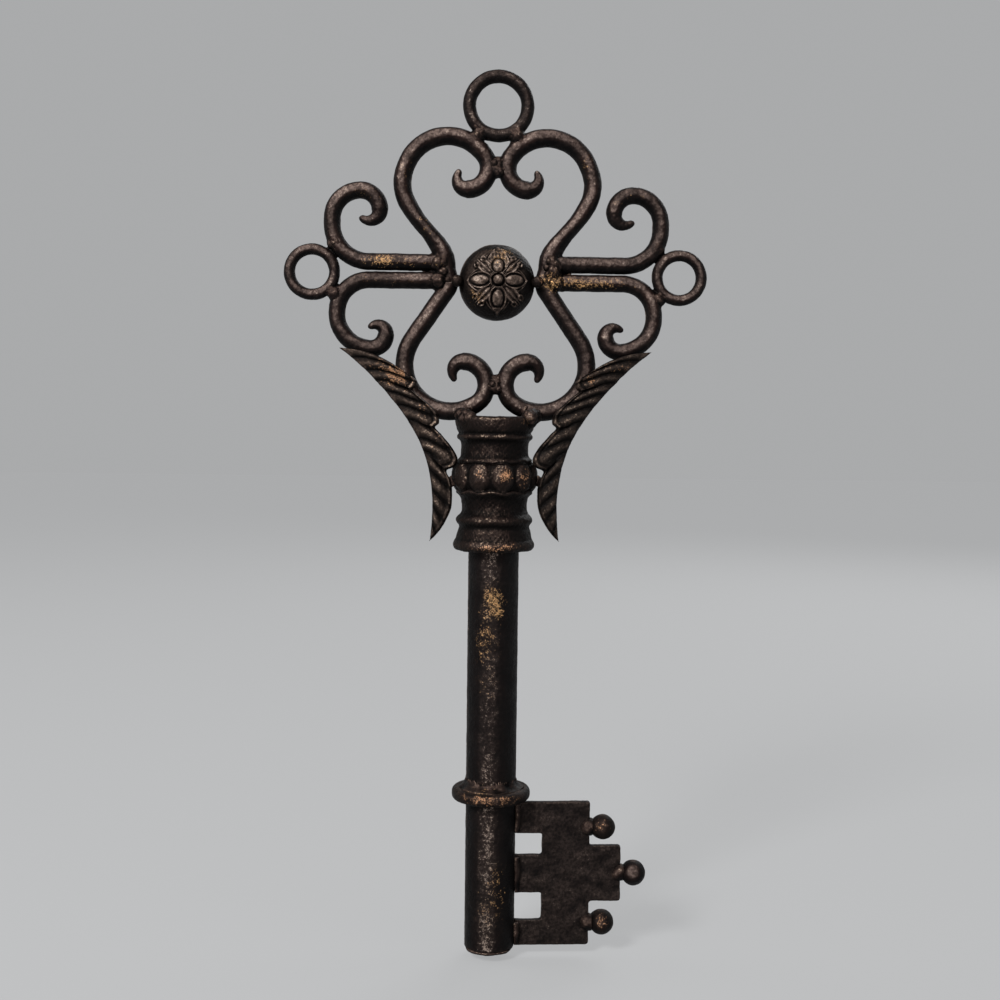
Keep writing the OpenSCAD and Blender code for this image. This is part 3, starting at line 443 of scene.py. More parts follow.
def iron(name, highlight_share, speck_share, relief=0.08, gloss=0.48, dark=BLACK, brown=BROWN, bright=PALE, gilt=GOLD):
    """Blackened metal. A pale brown painted highlight lies on what faces up and forward, with reddish painted
    half-light beside it, and brown patina on worn crests. Fine bright specks, partly painted glints, crowd
    into the highlight and onto wear, and gilt marks the places that are rubbed to the metal."""
    material = bpy.data.materials.new(name)
    material.use_nodes = True
    g = Graph(material.node_tree)
    shader = g.add("ShaderNodeBsdfPrincipled")
    g.link(shader.outputs["BSDF"], g.add("ShaderNodeOutputMaterial").inputs["Surface"])
    shader.inputs["Specular IOR Level"].default_value = SPECULAR
    fine, grain, mottle, cloud = (g.speckle(*noise) for noise in (FINE, GRAIN, MOTTLE, CLOUD))
    worn, patch, groove = g.attribute("worn"), g.attribute("gilt"), g.attribute("groove")

    # reddish painted half-light beside the ridge of a bar, and a pale brown painted highlight on the ridge,
    # with patina on worn crests
    front = g.most(g.facing(FRONT_HIGHLIGHT_WAY), g.facing(BACK_HIGHLIGHT_WAY))
    flank = g.most(g.calc("ABSOLUTE", g.facing(RIGHT_WAY)), g.facing(UP_WAY))
    painted_highlight = g.most(g.band(front, *HIGHLIGHT_FACING), g.band(flank, *FLANK_FACING, 0.0, FLANK_HIGHLIGHT))
    patchy = g.plus(cloud, 0.35, g.plus(mottle, 0.4, 0.38))
    beside = g.times(g.times(g.band(front, *HALF_LIGHT_FACING), patchy), 0.8 * highlight_share, clamp=True)
    base = g.blend(beside, dark, HALF_LIGHT_RED)
    raised = g.times(worn, g.band(front, *CREST_FACING))
    patina_and_highlight = g.plus(raised, relief, g.times(g.times(painted_highlight, patchy), highlight_share))
    base = g.blend(g.times(patina_and_highlight, g.band(grain, 0, 0.8, 0.35, 1.0), clamp=True), base, brown)

    # bright specks: painted glints on the painted highlight, and worn metal on crests and hammer marks
    coat = g.plus(fine, 0.55, g.times(grain, 0.45))
    glints_and_wear = g.times(g.plus(worn, 0.7, 0.3), g.times(painted_highlight, patchy))
    glints_and_wear = g.plus(glints_and_wear, speck_share, g.times(raised, 0.4 * relief))
    speck = g.band(g.calc("ADD", glints_and_wear, coat), *SPECK_RANGE)
    base = g.blend(speck, base, bright)

    # rubbed places, and painted shade in the creases and recesses
    rubbed = g.plus(patch, 0.55, g.plus(mottle, 0.2, g.times(coat, 0.8)))
    rubbed = g.times(g.band(rubbed, *RUBBED_RANGE), g.band(patch, 0.02, 0.2))
    base = g.blend(rubbed, base, g.blend(g.band(fine, 0.2, 0.8), darker(gilt), gilt))
    base = g.blend(g.band(groove, 0.1, 0.9, 0.0, CREASE_SHADE_COVER), base, darker(dark))
    g.link(base, shader.inputs["Base Color"])

    # shine and pits
    shine = g.most(rubbed, g.times(speck, 0.7))
    g.put(shader.inputs["Metallic"], g.band(shine, 0, 1, 0.0, METALLIC))
    dull = g.plus(mottle, 0.12, g.plus(grain, 0.10, gloss - 0.10))
    g.put(shader.inputs["Roughness"], g.plus(shine, -0.06, dull))
    pits = g.bump(g.plus(fine, 0.5, grain), 0.6, PIT_DEPTH)
    g.put(shader.inputs["Normal"], g.bump(mottle, 0.4, MOTTLE_DEPTH, pits))
    return material


bar_dark = iron("dark_bar", highlight_share=0.75, speck_share=0.7)
ring_dark = iron("dark_ring", highlight_share=0.34, speck_share=0.7)
bar_brown = iron("brown_bar", highlight_share=1.0, speck_share=0.9)
shaft_black = iron("black_shaft", highlight_share=0.24, speck_share=1.6)
cast_brown = iron("cast_brown", highlight_share=0.38, speck_share=0.9, relief=0.25, gloss=0.50,
                  dark=SOOT, brown=UMBER, bright=TAN, gilt=COPPER)
rose_brown = iron("rose_brown", highlight_share=0.3, speck_share=0.8, relief=0.8, gloss=0.46, dark=SOOT, brown=ASH)
leaf_copper = iron("leaf_copper", highlight_share=0.13, speck_share=0.5, relief=0.5, gloss=0.46,
                   dark=SOOT, brown=ASH, bright=TAN, gilt=COPPER)
plate_black = iron("plate_black", highlight_share=0.13, speck_share=0.3, relief=0.25, gloss=0.52)
weld_brown = iron("weld_brown", highlight_share=0.7, speck_share=0.5, relief=0.3, gloss=0.46, brown=UMBER, bright=TAN)

# Bars of the head
BAR_VOXEL = 0.42
BAR_SMOOTHING = 5
BAR_HAMMER = 0.06
BAR_SEED = 20
BARS = [
    ("hanging_ring", ring_dark, "dark_iron"),
    ("ring_left", bar_dark, "dark_iron"), ("ring_right", bar_dark, "dark_iron"),
    ("upper_scroll_left", bar_brown, "brown_iron"), ("upper_scroll_right", bar_brown, "brown_iron"),
    ("lower_scroll_left", bar_brown, "dark_iron"), ("lower_scroll_right", bar_dark, "dark_iron"),
    ("side_upper_scroll_left", bar_brown, "brown_iron"), ("side_upper_scroll_right", bar_dark, "brown_iron"),
    ("side_lower_scroll_left", bar_dark, "dark_iron"), ("side_lower_scroll_right", bar_brown, "dark_iron"),
]
# The upper heart's legs swing out and then in, on their way down to the hub: z, and the shift outwards
LEG_SWING = [(-30, 0.0), (-36, 0.5), (-44, 1.1), (-50, 1.1), (-54, 0.7), (-57, 0.0), (-61, -1.5),
             (-65, -3.0), (-69, -3.7), (-73, -3.4), (-77, -1.9), (-80, -0.4), (-82, 0.0)]
# The middle line of a leg: z, x
LEG_LINE = [(-82, 24.4), (-79, 25.2), (-66, 32.0), (-50, 41.0), (-36, 45.6), (-28, 46.5)]
# How far from a leg's line points still move with it in full, and how softly the shift then fades
LEG_HALF = 5
LEG_FADE = 3.5
# Round lumps, close behind each other, fill out the hub ends of the side scrolls' straight runs
RUN_Z = {"side_upper": -77.16, "side_lower": -86.06}
RUN_XS = np.arange(29.5, 37, 0.6)
RUN_R = 4.17


def swing(points):
    """The points of the upper heart with its legs bent as in the photo."""
    x, z = points[:, 0], points[:, 2]
    zs, shift = np.array(LEG_SWING[::-1]).T
    line_z, line_x = np.array(LEG_LINE).T
    beside = np.abs(np.abs(x) - np.interp(z, line_z, line_x))
    held = ridge(np.maximum(beside - LEG_HALF, 0), LEG_FADE)
    points[:, 0] += np.sign(x) * np.interp(z, zs, shift, 0, 0) * held
    return points


for count, (node, material, slot) in enumerate(BARS):
    side = -1 if node.endswith("left") else 1
    ends = [(side * x, 0, z, RUN_R) for start, z in RUN_Z.items() if node.startswith(start) for x in RUN_XS]
    skin, bumps = recast(node, BAR_VOXEL, BAR_SMOOTHING, BAR_HAMMER, BAR_SEED + 2 * count, ends)
    if node.startswith("upper_scroll"):
        move_points(skin, swing(vertex_points(skin)))
    piece(node, skin, material, worn=np.clip(0.15 + bumps * 3, 0, 0.6))


# Welds of the head, cut from one soft skin over bars and lumps, in which every corner is a fillet
def mirrored(spots):
    return spots + [(-spot[0], *spot[1:]) for spot in spots]


HEAD_VOXEL = 0.45
HEAD_SMOOTHING = 15
# A cut-out dips by this much towards its rim, from this share of its reach on
DIVE, DIVE_FROM = 0.55, 0.55
BUMP_FADE = 2.2
# Height, and shortest and longest wave, of the bumps on a nugget, and what its seed adds
NUGGET_BUMPS = (0.16, 1.6, 4)
NUGGET_SEED = 7
# Lumps under the skin: x, y, z, radius
HEAD_LUMPS = [
    (-10.6, -0.6, -15.4, 3.7), (9.4, -0.8, -15.0, 3.9), (-6.6, 0, -20.2, 2.4), (6.8, 0, -20.0, 2.4),
    (0.0, -1.2, -27.4, 3.1), (-0.6, -1.6, -31.8, 3.6), (0.3, 1.5, -30.0, 3.2), (0.2, -1.4, -134.6, 3.0),
    (-0.3, -1.8, -138.8, 3.5), (0.2, 1.4, -137.4, 3.4),
    (-80.6, -0.4, -68.4, 3.6), (80.2, -0.4, -68.8, 3.7), (-80.0, -0.9, -93.4, 3.9), (80.6, -0.4, -93.8, 3.7),
    (-29.6, -2.6, -77.6, 3.7), (-28.8, -2.8, -86.2, 3.8), (-27.4, -1.4, -81.8, 3.6), (-31.5, 1.8, -81.8, 3.4),
    (29.6, -2.3, -76.9, 4.0), (28.0, -2.7, -81.6, 4.1), (29.4, -2.5, -86.4, 4.1), (31.2, 1.6, -81.8, 3.4),
    (-14.0, -8.8, -153.6, 4.3), (-11.0, -9.4, -157.2, 2.9), (-17.4, -6.8, -152.4, 3.5),
    (16.8, -9.2, -153.6, 4.7), (14.4, -9.8, -157.0, 3.0), (19.4, -6.4, -152.4, 3.5),
]
RING_SPOTS = mirrored([(9.8, 0, -14.8, 9.0), (80.4, 0, -68.6, 8.0), (80.2, 0, -93.6, 8.0)])
# For each set of welds: its seed, the height of its bumps, the spots (x, y, z, reach) around which
# it is cut from the skin, and the small nuggets (x, y, z, radius) that sit on it
HEAD_WELDS = {
    "ring_welds": (201, 0.16, RING_SPOTS, [
        (-10.6, -2.2, -15.2, 2.4), (9.8, -2.4, -14.8, 2.4),
        (-80.4, -1.8, -68.6, 2.4), (80.4, -1.8, -93.6, 2.4)]),
    "curl_welds": (203, 0.22, [(0, 0, -30.5, 8.0), (0, 0, -137.2, 8.0)], [
        (-2.2, -3.4, -28.4, 1.8), (1.0, -3.6, -32.6, 1.7),
        (-1.6, -3.6, -137.0, 1.8), (1.8, -3.4, -139.4, 1.6)]),
    "hub_welds": (205, 0.3, [(-29, -1, -78, 9), (-29, -1, -86, 9), (29, -1, -78, 9), (29, -1, -86, 9)], [
        (-29.4, -3.6, -77.2, 2.9), (-30.0, -3.4, -85.6, 2.7), (-26.4, -4.2, -81.8, 2.4),
        (25.6, -4.4, -76.2, 1.8), (24.2, -4.6, -79.2, 1.7), (24.8, -4.7, -82.2, 1.7),
        (26.2, -4.6, -85.0, 1.8), (28.4, -4.4, -86.6, 1.8),
        (28.2, -4.2, -77.0, 1.8), (28.9, -4.4, -79.8, 1.6)]),
    "collar_welds": (207, 0.42, [(-14.2, -6.5, -153.5, 9.5), (16.6, -6.5, -153.5, 9.5)], [
        (-12.8, -11.2, -153.6, 3.3), (-10.0, -12.4, -156.4, 2.0), (16.8, -10.4, -153.2, 3.7)]),
}


def add_nugget(bm, middle, radius, seed):
    """A small lumpy ball of weld metal."""
    centre = Vector(middle) * MM
    place = Matrix.Translation(centre)
    ball = bmesh.ops.create_icosphere(bm, subdivisions=4, radius=radius * MM, matrix=place)
    points = np.array([vert.co for vert in ball["verts"]]) / MM
    for vert, wave in zip(ball["verts"], rough(points, *NUGGET_BUMPS, seed)):
        vert.co += (vert.co - centre).normalized() * float(wave) * MM


def cut_out(skin, seed, bumpy, spots, nuggets):
    """The part of a skin near some spots. It dips under the pieces around it."""
    bm = bmesh.new()
    bm.from_mesh(skin)
    bm.verts.ensure_lookup_table()
    points = swing(vertex_points(skin))
    away = np.full(len(points), np.inf)
    for x, y, z, reach in spots:
        away = np.minimum(away, np.linalg.norm(points - (x, y, z), axis=1) / reach)
    bumps = uneven(points, bumpy, bumpy * 0.3, seed, LUMPY)
    lift = bumps * np.clip(BUMP_FADE - BUMP_FADE * away, 0, 1)
    lift -= DIVE * np.clip((away - DIVE_FROM) / (1 - DIVE_FROM), 0, 1)
    points = (points + vertex_normals(skin) * lift[:, None]) * MM
    for vert in bm.verts:
        vert.co = points[vert.index]
    bmesh.ops.delete(bm, geom=[v for v in bm.verts if away[v.index] > 1], context="VERTS")
    bmesh.ops.holes_fill(bm, edges=[e for e in bm.edges if e.is_boundary], sides=0)
    bmesh.ops.triangulate(bm, faces=[f for f in bm.faces if len(f.verts) > 4])
    bmesh.ops.recalc_face_normals(bm, faces=bm.faces)
    for x, y, z, radius in nuggets:
        add_nugget(bm, (x, y, z), radius, seed + NUGGET_SEED)
    mesh = bpy.data.meshes.new("weld")
    bm.to_mesh(mesh)
    bm.free()
    return mesh


head_skin = skin_over([bar[0] for bar in BARS], HEAD_VOXEL, HEAD_SMOOTHING, HEAD_LUMPS)
for title, weld in HEAD_WELDS.items():
    piece(title, cut_out(head_skin, *weld), weld_brown, worn=0.1)
bpy.data.meshes.remove(head_skin)

# Rosette: a shell with an open back, its front a part of a ball
DOME_BALL = 20.09
DOME_BALL_Y = 5.09
DOME_BACK_Y = 2.0
DOME_WALL = 2.0
FACE_R = 17.4
FACE_ROWS, ROSE_COLUMNS = 140, 540
ROSE_SEED = 301
# Petals: direction in degrees, bead's distance, half length and half width, point's distance, frame's margin
PETALS = [(180, 8.8, 4.3, 2.45, 14.6, 1.5), (0, 8.0, 4.3, 2.6, 14.0, 1.4),
          (90, 6.8, 3.2, 2.6, 15.6, 2.4), (270, 8.8, 4.0, 2.7, 15.2, 1.5)]
PETAL_START = 2.6
PETAL_RISE = 2.3
# The dark groove round a petal's bead: depth, distance from the bead and width
GROOVE_DEPTH, GROOVE_GAP, GROOVE_WIDTH = 1.7, 0.35, 0.34
# Leaves between the petals: direction in degrees, reach
CURL_LEAVES = [(45, 14.6), (135, 14.0), (-45, 15.4), (-135, 15.0)]
CURL_START = 4.0
CURL_HALF = 4.0
# Flames beyond the upper and the lower petal
FLAME_START = 13.0
FLAME_HALF = 2.2
# Bead in the middle
BEAD_R = 2.4
BEAD_RISE = 2.8
BEAD_GROUND = 3.4


def petal(a, b, middle, half_len, half_width, point, margin):
    """A domed bead in a dark groove, inside a pointed frame with two raised lids."""
    q = np.sqrt(((a - middle) / half_len) ** 2 + (b / half_width) ** 2)
    bead = PETAL_RISE * np.sqrt(np.clip(1 - q ** 2.2, 0, 1))
    t = np.clip((a - PETAL_START) / (point - PETAL_START), 0, 1)
    lid = (half_width + margin) * np.sin(np.pi * t ** 0.86) ** 0.75
    inside = (a > PETAL_START) & (a < point)
    body = 0.8 * step(lid - np.abs(b), -0.3, 0.5)
    ribs = 0.25 * np.cos(2 * np.pi * b / 1.7) * step(a, middle + half_len * 0.6, middle + half_len)
    lines = 0.95 * ridge(np.abs(b) - lid, 0.45) + 0.6 * ridge(np.abs(b) - lid * 1.3 - 0.5, 0.36)
    ground = np.where(inside, body * (1 + ribs) + lines, 0)
    groove = GROOVE_DEPTH * ridge(np.maximum(q - 1, 0) * half_width - GROOVE_GAP, GROOVE_WIDTH)
    return np.where(q < 1, bead + 0.1, ground - np.where(a > 0, groove, 0))


def curl_leaf(a, b, reach):
    """A small fluted leaf from the middle outwards that ends in two rolled tips."""
    t = np.clip((a - CURL_START) / (reach - CURL_START), 0, 1)
    half = CURL_HALF * np.sin(np.pi * t ** 0.8) ** 0.6 + 0.01
    body = step(half - np.abs(b), -0.2, 0.5) * ((a > CURL_START) & (a < reach))
    flutes = 0.5 + 0.5 * np.cos(2 * np.pi * b / (0.5 * half + 0.4))
    roll = np.hypot(a - reach + 2.0, np.abs(b) - 2.1)
    return body * (0.5 + 0.9 * flutes) + 1.2 * ridge(roll - 1.15, 0.42) - 0.5 * ridge(roll, 0.5)


def flame(a, b):
    t = np.clip((a - FLAME_START) / (FACE_R - FLAME_START), 0, 1)
    body = step(FLAME_HALF * (1 - t) ** 0.8 - np.abs(b), -0.1, 0.6)
    return 0.9 * body * ((a > FLAME_START) & (a < FACE_R))


def along_and_across(x, z, degrees):
    """Distances from the middle along a direction and across it."""
    c, s = math.cos(math.radians(degrees)), math.sin(math.radians(degrees))
    return c * x + s * z, s * x - c * z


def relief(x, z):
    """Height of the rosette's ornament over the dome."""
    r = np.hypot(x, z)
    height = np.zeros_like(x)
    for degrees, *sizes in PETALS:
        a, b = along_and_across(x, z, degrees)
        room = step(a, 2.2, 3.2) * step(a - np.abs(b) * 0.8, 0, 0.8)
        height += room * petal(a, b, *sizes)
    clear = step(np.minimum(np.abs(x), np.abs(z)), 3.2, 4.2)
    for degrees, reach in CURL_LEAVES:
        a, b = along_and_across(x, z, degrees)
        room = 1 - step(np.abs(b) - a * 0.62, -0.6, 0.8)
        height = np.where(clear > 0.5, np.maximum(height, room * curl_leaf(a, b, reach) * (a > 0)), height)
    for degrees in (90, 270):
        height = np.maximum(height, flame(*along_and_across(x, z, degrees)))
    bead = BEAD_RISE * np.sqrt(np.clip(1 - (r / BEAD_R) ** 2, 0, 1)) - 1.0 * ridge(r - 3.0, 0.42)
    height = np.where(r < BEAD_GROUND, bead, height)
    worn_off = 0.85 + 0.15 * np.sin(1.1 * x + 0.7 * z + 1.0)
    return height * (1 - step(r, 15.8, FACE_R)) * worn_off


def relief_crease(x, z, reach):
    """How far the relief lies under its neighbourhood, in mm."""
    ring = [relief(x + reach * math.cos(k), z + reach * math.sin(k)) for k in np.arange(8) * math.pi / 4]
    return sum(ring) / 8 - relief(x, z)


def rosette():
    around = np.linspace(0, 2 * np.pi, ROSE_COLUMNS, endpoint=False)
    face_r = np.concatenate([np.linspace(0.12, FACE_R, FACE_ROWS), np.linspace(17.6, DOME_R - 0.35, 8)])
    rows = []
    for r in face_r:
        ball = DOME_BALL + relief(r * np.cos(around), r * np.sin(around))
        out = r * ball / DOME_BALL
        y = DOME_BALL_Y - math.sqrt(DOME_BALL ** 2 - r * r) * ball / DOME_BALL
        rows.append(np.stack([out * np.cos(around), y, out * np.sin(around)], axis=-1))
    # the rim and the inside: radius, y
    inner, inner_r = DOME_BALL - DOME_WALL, DOME_R - DOME_WALL
    edge = [(DOME_R - 0.1, -1.6), (DOME_R, -1.0), (DOME_R, 1.2), (DOME_R - 0.3, 1.8),
            (DOME_R - 0.9, DOME_BACK_Y), (DOME_R - 1.5, DOME_BACK_Y - 0.1), (inner_r, DOME_BACK_Y - 0.6)]
    edge += [(r, DOME_BALL_Y - math.sqrt(inner ** 2 - r * r)) for r in np.linspace(inner_r, 0.3, 24)]
    for r, y in edge:
        rows.append(np.stack([r * np.cos(around), np.full_like(around, y), r * np.sin(around)], axis=-1))
    mesh = turned_mesh(np.array(rows) + (0, 0, HUB_Z))
    roughen(mesh, *ROSE_MARKS, ROSE_SEED, CAST)
    return mesh


rosette_mesh = rosette()
x, y, z = (vertex_points(rosette_mesh) - (0, 0, HUB_Z)).T
on_front = y < -4
sunk = np.where(on_front, relief_crease(x, z, 0.9), 0)
raised = np.where(on_front, relief(x, z), 0)
rubbed_face = 0.3 * np.where(on_front, 1 - step(np.hypot(x + 1, z - 1), 11, 16), 0)
# The relief's hollows get painted shade, and its raised parts wear
piece("rosette_dome", rosette_mesh, rose_brown,
      worn=np.clip(rubbed_face + 0.25 * step(raised, 0.1, 0.5) + raised * 0.1 - sunk * 0.6, 0, 1),
      groove=np.clip(sunk * 1.3 - 0.05, 0, 1))

# Collar: a turned profile (height from its top, radius) with a lobed band
COLLAR_PROFILE = [
    (0, 16.5), (0, 18.3), (-0.5, 19.2), (-1.6, 19.8), (-4.2, 19.7), (-6.6, 19.2), (-7.8, 18.5), (-8.5, 18.2),
    (-9.2, 18.7), (-10.0, 19.0), (-10.9, 18.7), (-11.6, 17.9), (-12.6, 17.1), (-14.2, 16.8), (-16.5, 16.7),
    (-18.8, 16.9), (-20.3, 17.4), (-21.2, 18.2), (-21.9, 18.6), (-22.6, 18.5), (-23.3, 18.1), (-24.2, 17.9),
    (-35.6, 17.9), (-36.5, 18.3), (-37.3, 19.0), (-38.2, 18.8), (-39.2, 17.9), (-40.6, 16.9), (-43.0, 16.3),
    (-45.4, 16.2), (-47.2, 16.4), (-48.6, 17.1), (-49.7, 18.2), (-50.7, 18.9), (-51.7, 19.1), (-52.8, 18.8),
    (-53.9, 18.0), (-54.8, 17.6), (-55.6, 17.7), (-57.4, 18.3), (-59.6, 18.8), (-61.2, 19.2), (-62.0, 19.7),
    (-63.0, 20.2), (-64.2, 20.4), (-65.4, 20.1), (-66.3, 19.3), (-66.8, 18.2), (-66.8, 12.0),
]
PROFILE_SPACING = 0.33
COLLAR_COLUMNS = 420
COLLAR_SEED = 311
LOBES = 10
FIRST_LOBE = math.radians(-80)
BAND_MID = -29.9
BAND_SWELL = 1.9
BAND_HALF = 6.6
LOBE_HALF = 7.3
LOBE_FOOT_R = 17.6
LOBE_RISE = 4.0
LOBE_BLEND = 0.3
# The collar is rubbed where it stands out: from this radius on, and in full this much further out
PROUD_R, PROUD_OVER = 18.4, 3.0
# The lips above and below the band wave with its lobes
UPPER_LIP = -22.3
LOWER_LIP = -37.2


def dense(profile, spacing):
    """A smooth curve through profile points, sampled evenly."""
    p = np.array(profile, dtype=float)
    p = np.vstack([p[0], p, p[-1]])
    out = []
    for i in range(1, len(p) - 2):
        count = max(2, int(np.linalg.norm(p[i + 1] - p[i]) / spacing))
        for t in np.arange(count) / count:
            out.append(spline(p[i - 1], p[i], p[i + 1], p[i + 2], t))
    return np.array(out + [p[-1]])


def collar():
    """The collar's mesh, and how far each point lies in a groove between two lobes."""
    around = np.linspace(0, 2 * np.pi, COLLAR_COLUMNS, endpoint=False)
    nearest = (around - FIRST_LOBE + np.pi / LOBES) % (2 * np.pi / LOBES) - np.pi / LOBES
    wave = 0.5 * np.cos(LOBES * nearest)
    across = np.abs(nearest) * LOBES / np.pi
    rows, grooves = [], []
    for z, r in dense(COLLAR_PROFILE, PROFILE_SPACING):
        bulge = np.sqrt(np.clip(1 - (np.abs(z - BAND_MID) / LOBE_HALF) ** 2.2 - (across * 0.97) ** 2.6, 0, 1))
        lobe_r = LOBE_FOOT_R + LOBE_RISE * bulge
        r += BAND_SWELL * math.sqrt(max(0.0, 1 - ((z - BAND_MID) / BAND_HALF) ** 2))
        joined = LOBE_BLEND * np.logaddexp(r / LOBE_BLEND, lobe_r / LOBE_BLEND)
        lip = ridge(z - LOWER_LIP, 1.5) + 0.7 * ridge(z - UPPER_LIP, 1.2)
        radius = np.where(bulge > 0, joined, r) + 0.35 * lip * wave
        height = z - 0.9 * wave * ridge(z - LOWER_LIP + 0.2, 2.2)
        height += 0.5 * wave * ridge(z - UPPER_LIP - 0.1, 1.6)
        rows.append(np.stack([radius * np.cos(around), radius * np.sin(around), height], axis=-1))
        in_band = step(z, -37, -35) * (1 - step(z, -25, -23))
        grooves.append(in_band * (1 - step(radius, 19.0, 20.3)))
    mesh = turned_mesh(np.array(rows) + (0, 0, COLLAR_TOP))
    roughen(mesh, *COLLAR_MARKS, COLLAR_SEED, CAST)
    return mesh, np.append(np.array(grooves).ravel(), [0, 0])


collar_mesh, collar_groove = collar()
x, y, z = vertex_points(collar_mesh).T
proud = np.clip((np.hypot(x, y) - PROUD_R) / PROUD_OVER, 0, 1)
# Painted shade between the lobes of the band and on what does not stand out
piece("collar", collar_mesh, cast_brown,
      worn=0.35 * proud, groove=collar_groove, extra_darkening=0.35 * (1 - proud))

# Leaves. One row for each rung: strand number, then a point of the outer and of the lobed inner
# edge, as distances from the tip along the leaf and beside it
LEAF_RUNGS = [
    (0, 0, 0, 26.0, 25.3), (1, 6.5, 3.4, 28.0, 26.9), (1.5, 11, 5.4, 29.3, 27.6), (2, 15.5, 7.3, 31.0, 27.6),
    (2.5, 18.6, 8.5, 32.6, 26.3), (3, 21.7, 9.4, 33.6, 24.2), (3.4, 25, 10.6, 37.2, 26.0),
    (4, 28.5, 11.7, 42.5, 28.3), (4.6, 33.4, 13, 47.0, 30.1), (5, 37, 14, 50.3, 30.5),
    (5.5, 41.5, 14.9, 53.6, 29.3), (6, 46, 15.7, 55.0, 26.6), (6.4, 51, 16.3, 60.0, 28.2),
    (7, 56.5, 16.7, 68.0, 30.2), (7.5, 59.5, 16.7, 73.8, 30.3), (7.85, 61.5, 16.6, 76.6, 27.5),
    (8, 63, 16.5, 76.9, 22.9), (8.5, 68, 15.9, 82.0, 22.6), (9, 73, 15.0, 87.0, 21.3),
    (10, 82.3, 12.3, 94.5, 17.3), (11, 89.7, 9.3, 100, 11.3), (12, 97, 5.6, 103.5, 5.2),
    (13, 105, 1, 105, 0.6),
]
LEAF_OUTER = [rung[1:3] for rung in LEAF_RUNGS]
LEAF_INNER = [rung[3:] for rung in LEAF_RUNGS]
LEAF_NOTCHES = [0, 3, 6, 8, 13]
LEAF_TIP = np.array([77.33, -120.06])
LEAF_FOOT = np.array([32.9, -215.21])
LEAF_BACK_Y = -4.8
LEAF_EDGE_T = 1.2
LEAF_RISE = 0.8
LEAF_BOW = 3.2
LEAF_HOLLOW = 0.55
ROWS_PER_RUNG = 15
LEAF_COLUMNS = 57
# Heights of the strands, lobes, rims and of the swell across the leaf, before LEAF_RISE
STRAND_RISE, LOBE_STEP, RIM_RISE, SWELL = 1.8, 1.1, 1.2, 0.7
RIM_INSET, RIM_WIDTH = 1.6, 0.75


def curve_at(points, u):
    """Points of a smooth curve through the given ones, at fractional places along them."""
    p = np.array(points, dtype=float)
    last = len(p) - 1
    i = np.minimum(np.floor(u).astype(int), last - 1)
    return spline(p[np.maximum(i - 1, 0)], p[i], p[i + 1], p[np.minimum(i + 2, last)], (u - i)[:, None])


def leaf_relief(strand, v, width):
    """Height of the leaf's front: strands like a rope's, in lobes that overlap, with raised rims.
    Also what stands out on it, and how deep each point lies between two strands."""
    blade = step(strand, 8.0, 9.5)
    turn = strand + 0.10 * np.sin(2 * np.pi * v) * (1 - blade)
    cord = np.abs(np.sin(np.pi * turn)) ** 0.6
    lobe = np.zeros_like(strand)
    for low, high in zip(LEAF_NOTCHES, LEAF_NOTCHES[1:]):
        t = np.clip((strand - low) / (high - low), 0, 1)
        lobe = np.where((strand >= low) & (strand < high), t ** 1.4, lobe)
    lobe *= step(v, 0.1, 0.75) * (1 - step(strand, 8.0, 8.3))
    inset = (1 - v) * width
    rim = ridge(inset - RIM_INSET, RIM_WIDTH) * (1 - 0.6 * blade)
    shoulder = 0.5 * ridge(inset - 3.3, 0.9) * (1 - blade)
    across = np.sin(np.pi * np.clip(v, 0, 1)) ** 0.7
    strength = (0.45 + 0.55 * across) * (1 - 0.55 * blade * step(v, 0.25, 0.8))
    swell = SWELL * np.sin(np.pi * np.clip(v * 0.9 + 0.05, 0, 1))
    height = STRAND_RISE * cord * strength * (1 - 0.6 * rim) + LOBE_STEP * lobe + RIM_RISE * rim
    edge = step(v * width, -0.1, 1.4) * step(inset, -0.2, 1.3)
    foot = 1 - step(strand, 12.0, 13.0)
    crest = np.abs(np.sin(np.pi * turn)) ** 7 * edge * strength
    height = np.maximum(height - shoulder + swell, 0) * edge * (0.15 + 0.85 * foot)
    return height, np.maximum(rim * edge, crest), 1 - cord


def leaf(side):
    """A leaf's mesh, what stands out on it and the gaps between its strands."""
    last = len(LEAF_RUNGS) - 1
    us = np.linspace(0, last, last * ROWS_PER_RUNG + 1)
    vs = np.linspace(0, 1, LEAF_COLUMNS)
    outer, inner = curve_at(LEAF_OUTER, us), curve_at(LEAF_INNER, us)
    strands = np.interp(us, range(last + 1), [rung[0] for rung in LEAF_RUNGS])
    strand, v = np.meshgrid(strands, vs, indexing="ij")
    chord = inner - outer
    width = np.linalg.norm(chord, axis=1)[:, None] + 0 * v
    across = np.stack([-chord[:, 1], chord[:, 0]], axis=-1) / np.maximum(width[:, :1], 1e-6)
    bow = LEAF_BOW * np.clip(1 - strand / 4, 0, 1) * np.sin(np.pi * v)
    flat = outer[:, None] + chord[:, None] * v[..., None] + across[:, None] * bow[..., None]
    along = (LEAF_FOOT - LEAF_TIP) / np.linalg.norm(LEAF_FOOT - LEAF_TIP)
    inward = np.array([along[1], -along[0]])
    place = LEAF_TIP + flat[..., :1] * along + flat[..., 1:] * inward
    height, proud, gap = leaf_relief(strand, v, width)
    hollow = LEAF_HOLLOW * np.sin(np.pi * v) ** 0.8 * np.minimum(width / 12, 1)
    x, z = side * place[..., 0], place[..., 1]
    front = np.stack([x, LEAF_BACK_Y - LEAF_EDGE_T - height * LEAF_RISE, z], axis=-1)
    back = np.stack([x, LEAF_BACK_Y - hollow, z], axis=-1)
    on_back = np.zeros(proud.size)
    marks = [np.concatenate([layer.ravel(), on_back]) for layer in (proud, gap)]
    return sheet_mesh(front, back), *marks


